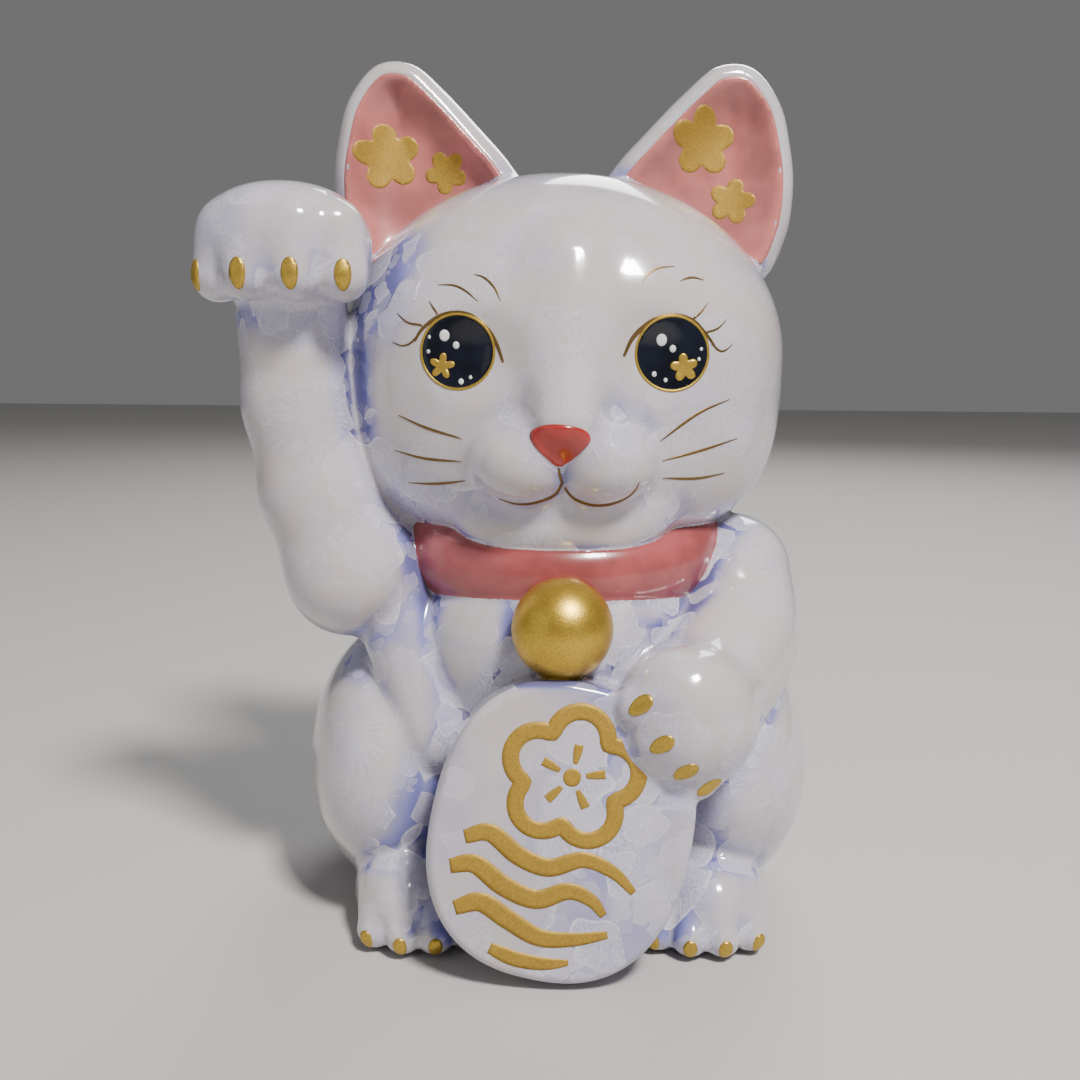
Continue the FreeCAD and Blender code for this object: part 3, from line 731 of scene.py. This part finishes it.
def layer(shapes, place, across, up, field, lift, sink=0.35):
    """Closed thin layers on the clay: flat shapes seen against their plane's normal."""
    out = np.cross(across, up)
    out /= np.linalg.norm(out)
    all_points, all_faces = [], []
    for flat, faces in shapes:
        flat = np.asarray(flat, np.float32)
        spots = place + flat[:, :1] * across + flat[:, 1:] * up + out * 9.0
        hit = land(spots.astype(np.float32), out.astype(np.float32), field)
        normal = gradient(field, hit)
        sides = {}
        for face in faces:
            for a, b in zip(face, face[1:] + face[:1]):
                sides[(a, b)] = sides.get((a, b), 0) + 1
        border = [(a, b) for a, b in sides if (b, a) not in sides]
        rise = np.full(len(flat), lift)
        rise[[a for a, _ in border]] = lift * 0.7
        start = sum(len(points) for points in all_points)
        count = len(flat)
        all_points += [hit + normal * rise[:, None], hit - normal * sink]
        all_faces += [tuple(start + v for v in face) for face in faces]
        all_faces += [tuple(start + count + v for v in face[::-1]) for face in faces]
        all_faces += [(start + b, start + a, start + count + a, start + count + b) for a, b in border]
    return np.concatenate(all_points), all_faces


def paint(name, layers, finish, *nodes):
    """One object from one or more layers, in place of the CAD nodes named."""
    points, faces = [], []
    for layer_points, layer_faces in layers:
        start = sum(len(p) for p in points)
        points.append(layer_points)
        faces += [tuple(start + v for v in face) for face in layer_faces]
    return make_object(name, np.concatenate(points), faces, finish, nodes)


# ---- materials --------------------------------------------------------------------------------------


class Nodes:
    """Short calls for building a material's node tree."""

    def __init__(self, name, **surface):
        self.material = bpy.data.materials.new(name)
        self.material.use_nodes = True
        self.tree = self.material.node_tree
        self.shader = self.tree.nodes["Principled BSDF"]
        for socket, value in surface.items():
            self.shader.inputs[socket.replace("_", " ")].default_value = value

    def add(self, kind, settings=(), inputs=()):
        """A node. inputs holds a value or an output socket for each named or numbered input."""
        node = self.tree.nodes.new(kind)
        for key, value in dict(settings).items():
            setattr(node, key, value)
        for key, value in dict(inputs).items():
            self.feed(node.inputs[key], value)
        return node

    def feed(self, socket, value):
        if isinstance(value, bpy.types.NodeSocket):
            self.tree.links.new(value, socket)
        else:
            socket.default_value = value

    def math(self, operation, a, b=0.0):
        return self.add("ShaderNodeMath", {"operation": operation}, {0: a, 1: b}).outputs[0]

    def vector(self, operation, *inputs):
        node = self.add("ShaderNodeVectorMath", {"operation": operation}, dict(enumerate(inputs)))
        return node.outputs[0]

    def ramp(self, value, low, high, to_low=0.0, to_high=1.0):
        """Smooth step from low to high."""
        return self.add(
            "ShaderNodeMapRange",
            {"interpolation_type": "SMOOTHSTEP"},
            {"Value": value, "From Min": low, "From Max": high, "To Min": to_low, "To Max": to_high},
        ).outputs["Result"]

    def mix(self, share, a, b):
        node = self.add("ShaderNodeMix", {"data_type": "RGBA"})
        self.feed(node.inputs["Factor"], share)
        self.feed(node.inputs[6], a)
        self.feed(node.inputs[7], b)
        return node.outputs[2]

    def noise(self, place, scale, detail=2.0, rough=0.5):
        inputs = {"Vector": place, "Scale": scale, "Detail": detail, "Roughness": rough}
        return self.add("ShaderNodeTexNoise", (), inputs).outputs["Fac"]

    def place(self):
        return self.add("ShaderNodeTexCoord").outputs["Object"]

    def bump(self, height, distance, strength=1.0):
        bumped = self.add(
            "ShaderNodeBump", (), {"Height": height, "Distance": distance, "Strength": strength}
        )
        self.feed(self.shader.inputs["Normal"], bumped.outputs[0])


# The deep violet is pooled glaze darkened further: painted shade for the creases.
CREAM, VIOLET, POOLED_AND_SHADED_VIOLET = (0.56, 0.505, 0.51, 1), (0.22, 0.225, 0.54, 1), (0.115, 0.115, 0.30, 1)
PALE_CRYSTAL, BLUE_CRYSTAL = (0.55, 0.515, 0.565, 1), (0.40, 0.39, 0.58, 1)
FIBRE, CRYSTAL_RIM, THIN_GLAZE = (0.74, 0.72, 0.78, 1), (0.90, 0.89, 0.94, 1), (0.64, 0.585, 0.575, 1)


def glaze_material():
    """Crystalline glaze: white where it is thin, lavender where it pools, a deeper violet in the tightest
    creases that is painted shade, with fan-shaped crystals whose fibres run out from a middle and stop at a
    crisp rim."""
    n = Nodes("crystalline_glaze", Roughness=0.14, IOR=1.5)
    place = n.place()
    pool_and_shade = n.add("ShaderNodeAttribute", {"attribute_name": "pool_and_shade"}).outputs["Fac"]
    thin = n.add("ShaderNodeAttribute", {"attribute_name": "thin"}).outputs["Fac"]
    cloud = n.noise(place, 60.0, 3.0)
    patch = n.noise(place, 22.0, 2.0)
    wet = n.math("ADD", pool_and_shade, n.math("MULTIPLY", n.math("SUBTRACT", cloud, 0.5), 0.8))
    wet = n.math("ADD", wet, n.math("MULTIPLY", n.math("SUBTRACT", patch, 0.5), 1.0))
    lavender = n.ramp(wet, 0.0, 0.66)
    ground = n.mix(lavender, CREAM, VIOLET)
    # Painted shade: the deepest hollows and creases darken to deep violet, over the lavender of the pooled
    # glaze.
    ground = n.mix(n.ramp(pool_and_shade, 0.42, 0.95), ground, POOLED_AND_SHADED_VIOLET)

    def crystals(scale, seed, cover, strength, under):
        """One size of crystal grown over the colour below it. cover is about the share of the ground that
        it hides and strength is how solid it is."""
        here = n.vector("ADD", place, (seed, seed * 2, -seed))
        cells = n.add("ShaderNodeTexVoronoi", {"feature": "F1"}, {"Vector": here, "Scale": scale})
        way = n.vector("NORMALIZE", n.vector("SUBTRACT", here, cells.outputs["Position"]))
        tint = n.add("ShaderNodeSeparateColor", (), {0: cells.outputs["Color"]})
        turn = n.vector("MULTIPLY_ADD", cells.outputs["Color"], (7, 7, 7), way)
        fibre = n.noise(turn, 16.0, 3.0, 0.7)
        lobes = n.noise(turn, 1.3, 0.0)
        far = cells.outputs["Distance"]
        reach = n.math("ADD", n.math("MULTIPLY", lobes, 0.45), n.math("MULTIPLY", tint.outputs[0], 0.30))
        edge = n.math("SUBTRACT", n.math("ADD", reach, 0.20), far)
        inside = n.ramp(edge, 0.0, 0.02)
        wetter = n.math("MULTIPLY", n.math("SUBTRACT", patch, 0.5), 1.3)
        wetter = n.math("ADD", wetter, n.math("MULTIPLY", lavender, 0.25))
        grown = n.ramp(n.math("ADD", tint.outputs[1], wetter), 0.98 - cover, 1.02 - cover)
        streaks = n.ramp(fibre, 0.40, 0.62)
        body = n.mix(tint.outputs[2], PALE_CRYSTAL, BLUE_CRYSTAL)
        crystal = n.mix(n.math("MULTIPLY", streaks, 0.7), body, FIBRE)
        rim = n.math("MULTIPLY", n.ramp(edge, 0.055, 0.0), inside)
        crisp = n.ramp(lavender, 0.0, 0.7, 0.30, 0.85)
        crystal = n.mix(n.math("MULTIPLY", rim, crisp), crystal, CRYSTAL_RIM)
        solid = n.ramp(lavender, 0.05, 0.7, strength * 0.5, strength)
        return n.mix(n.math("MULTIPLY", n.math("MULTIPLY", inside, grown), solid), under, crystal)

    colour = crystals(62.0, 0.013, 0.50, 0.85, ground)
    colour = crystals(125.0, 0.047, 0.40, 0.75, colour)
    colour = crystals(250.0, 0.083, 0.34, 0.40, colour)
    colour = n.mix(n.math("MULTIPLY", thin, 0.55), colour, THIN_GLAZE)
    n.feed(n.shader.inputs["Base Color"], colour)
    n.feed(n.shader.inputs["Coat Weight"], 0.8)
    n.feed(n.shader.inputs["Coat Roughness"], 0.03)
    return n.material


def enamel_material(name, colour, roughness=0.2, mottle=0.12, coat=0.5):
    """Fired colour, slightly uneven."""
    n = Nodes(name, Roughness=roughness, IOR=1.5)
    uneven = n.noise(n.place(), 120.0, 3.0)
    darker = tuple(c * (1 - mottle * 2) for c in colour) + (1,)
    lighter = tuple(min(c * (1 + mottle), 1) for c in colour) + (1,)
    n.feed(n.shader.inputs["Base Color"], n.mix(n.ramp(uneven, 0.3, 0.7), darker, lighter))
    n.feed(n.shader.inputs["Coat Weight"], coat)
    n.feed(n.shader.inputs["Coat Roughness"], 0.05)
    return n.material


def gold_material(name, colour, roughness, metallic, grain):
    """Brushed-on gold: metal flakes give it a fine grain."""
    n = Nodes(name, Roughness=roughness, Metallic=metallic)
    place = n.place()
    flakes = n.noise(place, 2600.0, 2.0, 0.7)
    patches = n.noise(place, 260.0, 2.0)
    deep = tuple(c * 0.72 for c in colour) + (1,)
    bright = tuple(min(c * 1.18, 1) for c in colour) + (1,)
    glint = n.math("MULTIPLY", n.ramp(flakes, 0.35, 0.65), 0.6)
    share = n.math("ADD", glint, n.math("MULTIPLY", patches, 0.4))
    n.feed(n.shader.inputs["Base Color"], n.mix(share, deep, bright))
    n.bump(flakes, grain * MM, 0.6)
    return n.material


def clay_material():
    """Unglazed biscuit, under the foot."""
    n = Nodes("bare_clay", Roughness=0.85)
    grains = n.noise(n.place(), 900.0, 3.0)
    n.feed(n.shader.inputs["Base Color"], n.mix(grains, (0.60, 0.56, 0.50, 1), (0.70, 0.66, 0.60, 1)))
    n.bump(grains, 0.05 * MM, 0.5)
    return n.material


# Each finish is a material and a slot name.
GLAZE = glaze_material(), "body_glaze"
PINK = enamel_material("ear_pink", (0.53, 0.165, 0.148), 0.32), "pink_enamel"
COLLAR_RED = enamel_material("collar_red", (0.37, 0.080, 0.082), 0.24), "collar_enamel"
NOSE_RED = enamel_material("nose_red", (0.46, 0.034, 0.027), 0.25), "nose_enamel"
EYE_BLACK = enamel_material("eye_black", (0.006, 0.008, 0.016), 0.12, 0.3, 0.1), "eye_enamel"
WHITE = enamel_material("eye_light", (0.78, 0.78, 0.80), 0.2, 0.02), "body_glaze"
BELL_GOLD = gold_material("bell_gold", (0.66, 0.43, 0.06), 0.36, 0.85, 0.07), "gold_lustre"
TRIM_GOLD = gold_material("trim_gold", (0.56, 0.37, 0.06), 0.40, 0.75, 0.03), "gold_lustre"
LINE_GOLD = gold_material("line_gold", (0.19, 0.115, 0.035), 0.32, 0.7, 0.02), "gold_lustre"
BRUSH_GOLD = gold_material("brush_gold", (0.44, 0.27, 0.035), 0.55, 0.35, 0.03), "gold_lustre"
BARE_CLAY = clay_material()

# ---- the clay ---------------------------------------------------------------------------------------

FINISH = {"collar_clay": COLLAR_RED, "bell_clay": BELL_GOLD}
for piece in CLAY.values():
    sculpt(piece, FINISH.get(piece.name, GLAZE))
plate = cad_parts["base_plate"]
plate.data.materials.clear()
plate.data.materials.append(BARE_CLAY)

# ---- enamel and gold --------------------------------------------------------------------------------

EAST, NORTH = vec(1, 0, 0), vec(0, 0, 1)  # across and up in the front view
COAT = 0.10  # a coarse mesh stands a little proud of the clay's true surface


def on_face(shapes, place, lift=COAT):
    return layer(shapes, place, EAST, NORTH, CLAY["head_clay"].raw, lift)


# The two eyes are painted by hand, so each has its own strokes, in mm from the eye's middle. A light is
# its place and half width.
EYES = {
    "right": {
        "lid": [
            (-8.3, 2.0), (-6.7, 4.3), (-3.6, 6.5), (-0.2, 7.2),
            (2.9, 6.5), (5.5, 4.5), (7.4, 1.6), (8.7, -1.9),
        ],
        "lashes": [
            [(-3.8, 7.0), (-4.7, 8.2), (-5.5, 9.4)],
            [(-6.8, 4.9), (-9.8, 5.5), (-12.0, 7.3)],
            [(-8.0, 2.6), (-9.3, 1.5), (-10.9, 1.1), (-12.9, 1.8)],
        ],
        "brows": [
            [(3.9, 9.3), (1.6, 11.2), (-0.7, 12.3), (-3.9, 12.5)],
            [(8.2, 9.3), (7.0, 11.8), (5.0, 13.7), (3.0, 14.4)],
        ],
        "lights": [
            (-2.5, 3.0, 0.95), (-0.3, 1.2, 0.62), (-5.4, 2.7, 0.3),
            (-5.6, 0, 0.34), (0.7, -5.6, 0.5), (2.5, -4.8, 0.32),
        ],
        "star": petals(-3.0, -2.7, 2.5, 8, 0.38, 1.1),
    },
    "left": {
        "lid": [
            (-9.3, -0.6), (-7.8, 2.6), (-5.7, 4.8), (-3.2, 6.4),
            (0, 7.1), (3.6, 6.3), (6.2, 4.0), (8.2, 1.6),
        ],
        "lashes": [
            [(4.0, 6.6), (5.5, 7.9), (6.9, 9.7)],
            [(6.4, 4.0), (8.8, 4.8), (10.8, 6.6)],
            [(7.7, 1.9), (9.4, 0.6), (10.8, 0.9), (12.2, 2.1)],
        ],
        "brows": [
            [(-6.0, 12.8), (-4.8, 14.7), (-2.7, 15.9), (0.3, 16.3)],
            [(1.3, 13.5), (2.7, 14.1), (4.2, 14.3), (6.2, 13.9)],
        ],
        "lights": [
            (-2.1, 2.5, 1.0), (0.1, 0.9, 0.62), (5.6, 0.9, 0.3),
            (5.2, -1.0, 0.32), (-3.4, -3.9, 0.45), (-1.2, -5.0, 0.36),
        ],
        "star": petals(2.4, -2.6, 2.7, -8, 0.46, 0.8),
    },
}
EYE_RADIUS = 7.0
brow_layers = []
for label, _ in SIDES:
    eye, at = EYES[label], middle(f"{label}_eye_enamel")
    disc = [filled(oval(0, 0, EYE_RADIUS, EYE_RADIUS, 64))]
    rim = [brush(oval(0, 0, EYE_RADIUS, EYE_RADIUS, 72), 0.45, closed=True)]
    lid = [brush(eye["lid"], 0.9, 0.55, 0.45, 0.6 if label == "right" else 0.3)]
    lashes = [brush(line, 0.42, 1.0, 0.15, 0.12) for line in eye["lashes"]]
    lights = [filled(oval(x, y, r, r * 1.15, 18), 0.4) for x, y, r in eye["lights"]]
    star = [filled(eye["star"], 0.4)]
    brows = [brush(line, 0.42, 0.2, 0.15, 0.45) for line in eye["brows"]]
    paint(f"{label}_eye_enamel_disc", [on_face(disc, at)], EYE_BLACK, f"{label}_eye_enamel")
    paint(f"{label}_eye_rim", [on_face(rim, at, COAT + 0.10)], TRIM_GOLD, f"{label}_eye_rim_gold")
    paint(f"{label}_eye_lid", [on_face(lid, at, COAT + 0.04), on_face(lashes, at)], LINE_GOLD)
    paint(f"{label}_eye_lights", [on_face(lights, at, COAT + 0.08)], WHITE)
    paint(f"{label}_eye_star", [on_face(star, at, COAT + 0.07)], TRIM_GOLD)
    brow_layers.append(on_face(brows, at))
paint("brows", brow_layers, LINE_GOLD, "brows_gold")

# Whiskers, nose and mouth, in mm from the middle of the nose.
NOSE = middle("nose_enamel") + vec(-0.9, 0, 0)
WHISKERS = [
    [(-31.3, 5.3), (-25.5, 3.0), (-18.4, 1.1)],
    [(-32.5, -1.7), (-26.0, -3.0), (-18.6, -3.3)],
    [(-29.9, -8.2), (-24.0, -8.0), (-18.0, -7.1)],
    [(33.0, 8.9), (26.5, 6.2), (19.2, 1.0)],
    [(35.2, 1.2), (28.0, -0.8), (19.7, -2.8)],
    [(33.0, -5.7), (27.0, -6.5), (20.0, -6.2)],
]
whiskers = [brush(line, 0.55, 0.2, 0.15, 0.6) for line in WHISKERS]
paint("whiskers", [on_face(whiskers, NOSE)], LINE_GOLD, "whiskers_gold")
nose_top = [(-4.8, 3.5), (-2.4, 4.4), (0.4, 4.5), (3.2, 4.0), (5.0, 3.0), (5.5, 1.5)]
nose_point = [(3.9, -0.6), (1.3, -2.8), (-0.2, -3.4), (-1.7, -2.5), (-4.4, 0.1), (-5.5, 2.1)]
nose = [filled(smooth_loop(nose_top + nose_point))]
paint("nose", [on_face(nose, NOSE, COAT + 0.12)], NOSE_RED, "nose_enamel")
stem = [(-0.2, -3.7), (0.1, -5.2), (0.6, -6.9)]
right_smile = [(0.6, -6.6), (-0.8, -9.1), (-4.5, -10.7), (-8.0, -11.0), (-11.4, -10.1)]
left_smile = [(0.5, -6.7), (2.6, -9.6), (5.9, -11.0), (9.3, -11.0), (12.4, -9.9), (14.1, -8.4), (15.0, -6.4)]
mouth = [
    brush(stem, 0.5, 0.5, 0.9, 0.4),
    brush(right_smile, 0.6, 0.7, 0.25, 0.3),
    brush(left_smile, 0.6, 0.7, 0.25, 0.4),
]
paint("mouth_line", [on_face(mouth, NOSE)], LINE_GOLD, "mouth_line_gold")

# The blossoms in the ears: mm outward and up from the ear's middle, radius and turn in degrees.
BLOSSOMS = {
    "right": ((6.2, 3.2, 7.1, 10), (-6.4, 0.2, 4.7, 30)),
    "left": ((-1.8, 6.9, 7.2, 0), (4.8, -5.4, 5.0, 14)),
}


def drawn_in(outline, gap):
    """An outline moved inward by gap."""
    along = np.roll(outline, -1, 0) - np.roll(outline, 1, 0)
    inward = np.stack([-along[:, 1], along[:, 0]], 1)
    inward /= np.linalg.norm(inward, axis=1)[:, None]
    trial = outline + inward * gap
    return trial if outline_distance(trial, outline).mean() < 0 else outline - inward * gap


for label, side in SIDES:
    at, bowl = ear_middle(label), CLAY[f"{label}_ear_clay"].raw
    lining = [facing(filled(drawn_in(EAR_OUTLINE, EAR_RIM + 0.5), 0.9), side)]
    flowers = [facing(filled(petals(x, y, r, t), 0.6), side) for x, y, r, t in BLOSSOMS[label]]
    lining_layer = layer(lining, at, EAST, NORTH, bowl, COAT + 0.06)
    flower_layer = layer(flowers, at, EAST, NORTH, bowl, COAT + 0.12)
    paint(f"{label}_ear_lining", [lining_layer], PINK, f"{label}_ear_lining_enamel")
    paint(f"{label}_ear_blossoms", [flower_layer], BRUSH_GOLD, f"{label}_ear_blossoms_gold")


def claw_layers(claws, clay_name):
    """Gold claws, each from the toe's tip, the ways out of the clay and up the claw, half width and half
    length."""
    made = []
    for place, out, up, half_width, half_length in claws:
        out = np.asarray(out, np.float32) / np.linalg.norm(out)
        across = np.cross(up, out)
        across /= np.linalg.norm(across)
        shape = filled(oval(0, 0, half_width, half_length, 24, 0.12), 0.5)
        field = CLAY[clay_name].raw
        made.append(layer([shape], place, across, np.cross(out, across), field, COAT + 0.12, 0.5))
    return made


raised_claws = [
    (tip + vec(0, 0, 0.4), vec(math.sin(turn), -math.cos(turn), -0.12), NORTH, 1.55, 2.9)
    for (_, tip, _), turn in zip(RAISED_TOES, np.radians((-48, -10, 0, 10)))
]
raised_claws = claw_layers(raised_claws, "raised_paw_clay")
paint("raised_paw_claws", raised_claws, TRIM_GOLD, "raised_paw_claws_gold")
rest_claws = [
    (tip - AHEAD * 2.0, vec(0, -1, 0) + AHEAD * 0.2 + ACROSS * lean, -AHEAD, 1.5, 2.6)
    for (_, tip, _), lean in zip(REST_TOES, (-0.25, -0.05, 0.1, 0.4))
]
rest_claws = claw_layers(rest_claws, "resting_foreleg_clay")
paint("resting_paw_claws", rest_claws, TRIM_GOLD, "resting_paw_claws_gold")
for label, side in SIDES:
    toe_row = hind_foot(label, side) + vec(HIND_SHIFT[label], 0, 0)
    claws = [
        (toe_row + vec(side * (x + lean), y, 3.6), vec(side * turn, -1, -0.1), NORTH, 1.35, 2.1)
        for x, y, lean, turn in HIND_TOES
    ]
    claws = claw_layers(claws, f"{label}_hind_paw_clay")
    paint(f"{label}_hind_claws", claws, TRIM_GOLD, f"{label}_hind_claws_gold")



def water(points, width):
    return brush(points, width, 0.7, 0.35, 0.3)


# A blossom over flowing water on the tablet, in mm across and up from the middle of its face.
ornament = []
BLOOM = (-0.4, 11.2)
ornament.append(brush(petals(*BLOOM, 12.4, 0, 0.66, 0.7, 120), 3.2, closed=True))
ornament.append(filled(oval(*BLOOM, 1.7, 1.7, 24), 0.5))
for turn in np.arange(5) * math.tau / 5:
    away = np.array([math.sin(turn), math.cos(turn)])
    ornament.append(brush([BLOOM + away * 2.6, BLOOM + away * 4.4, BLOOM + away * 6.2], 1.7, 0.5, 1.0, 0.9))
ripple_1 = [(-17.5, -4.0), (-13.0, -2.2), (-7.0, -5.2), (-1.0, -6.2), (5.0, -3.4), (11.0, -4.6), (15.5, -7.6)]
ripple_2 = [
    (-19.0, -10.0), (-14.5, -8.6), (-8.5, -11.4), (-2.0, -12.6), (3.5, -9.8), (8.0, -10.6), (11.0, -13.0),
]
ripple_3 = [(-16.5, -17.6), (-12.0, -15.4), (-6.5, -17.4), (0.0, -19.6), (6.5, -18.6), (12.5, -16.4)]
ripple_4 = [(-8.5, -23.6), (-3.5, -24.6), (2.0, -24.4), (6.5, -23.2)]
ornament += [water(ripple_1, 3.7), water(ripple_2, 3.9), water(ripple_3, 3.9), water(ripple_4, 3.0)]
roll, lean = math.radians(TABLET_ROLL), math.radians(TABLET_LEAN)
tablet_across = vec(math.cos(roll), math.sin(roll) * -math.sin(lean), -math.sin(roll))
tablet_up = vec(math.sin(roll), math.sin(lean), math.cos(roll))
tablet_across -= tablet_up * (tablet_across @ tablet_up) / (tablet_up @ tablet_up)
tablet_across /= np.linalg.norm(tablet_across)
tablet_up /= np.linalg.norm(tablet_up)
ornament = [layer(ornament, TABLET, tablet_across, tablet_up, CLAY["koban_clay"].raw, COAT)]
paint("koban_ornament", ornament, BRUSH_GOLD, "koban_ornament_gold")

# ---- stage ------------------------------------------------------------------------------------------


# Name, place and width in metres, watts and colour.
LIGHTS = (
    ("key", (0.34, -0.60, 0.98), 0.18, 21.0, (1, 0.97, 0.93)),
    ("fill", (-0.9, -0.6, 0.45), 0.9, 1.2, (0.93, 0.96, 1)),
    ("back", (0.3, 0.9, 0.9), 0.6, 8.0, (1, 1, 1)),
)
FLOOR_REACH = 3.0
FLOOR_COLOUR, WORLD_COLOUR, WORLD_STRENGTH = (0.52, 0.51, 0.50, 1), (0.80, 0.80, 0.80, 1), 0.21


def area_light(name, place, target, width, watts, tint):
    data = bpy.data.lights.new(name, "AREA")
    data.shape, data.size, data.size_y, data.energy, data.color = "RECTANGLE", width, width, watts, tint
    lamp = bpy.data.objects.new(name, data)
    lamp.location = place
    lamp.rotation_euler = (Vector(target) - Vector(place)).to_track_quat("-Z", "Y").to_euler()
    bpy.context.scene.collection.objects.link(lamp)


def stage():
    floor_mesh = bpy.data.meshes.new("floor")
    corners = [(x * FLOOR_REACH, y * FLOOR_REACH, 0) for x, y in ((-1, -1), (1, -1), (1, 1), (-1, 1))]
    floor_mesh.from_pydata(corners, [], [(0, 1, 2, 3)])
    floor = bpy.data.objects.new("floor", floor_mesh)
    floor.location.z = (FLOOR - 0.02) * MM
    bpy.context.scene.collection.objects.link(floor)
    floor_mesh.materials.append(Nodes("floor", Base_Color=FLOOR_COLOUR, Roughness=0.7).material)
    world = bpy.data.worlds.new("studio")
    world.use_nodes = True
    background = world.node_tree.nodes["Background"]
    background.inputs["Color"].default_value = WORLD_COLOUR
    background.inputs["Strength"].default_value = WORLD_STRENGTH
    bpy.context.scene.world = world
    for name, place, width, watts, tint in LIGHTS:
        area_light(name, place, tuple(SKULL * MM), width, watts, tint)


CAMERA_PLACE = (-4.4, -241.0, 116.0)  # mm
CAMERA_PITCH, CAMERA_ROLL = -9.0, 0.5  # degrees
CAMERA_LENS, CAMERA_SENSOR = 36.1, 36.0


def front_camera():
    """Straight in front, a little above the middle and looking down."""
    data = bpy.data.cameras.new("camera")
    data.lens, data.sensor_width = CAMERA_LENS, CAMERA_SENSOR
    camera = bpy.data.objects.new("camera", data)
    camera.location = Vector(CAMERA_PLACE) * MM
    pitch, roll = math.radians(CAMERA_PITCH), math.radians(CAMERA_ROLL)
    look = Vector((0, math.cos(pitch), math.sin(pitch)))
    camera.rotation_euler = look.to_track_quat("-Z", "Y").to_euler()
    camera.rotation_euler.rotate_axis("Z", roll)
    data.clip_start, data.clip_end = 0.01, 20
    bpy.context.scene.collection.objects.link(camera)
    bpy.context.scene.camera = camera


stage()
front_camera()
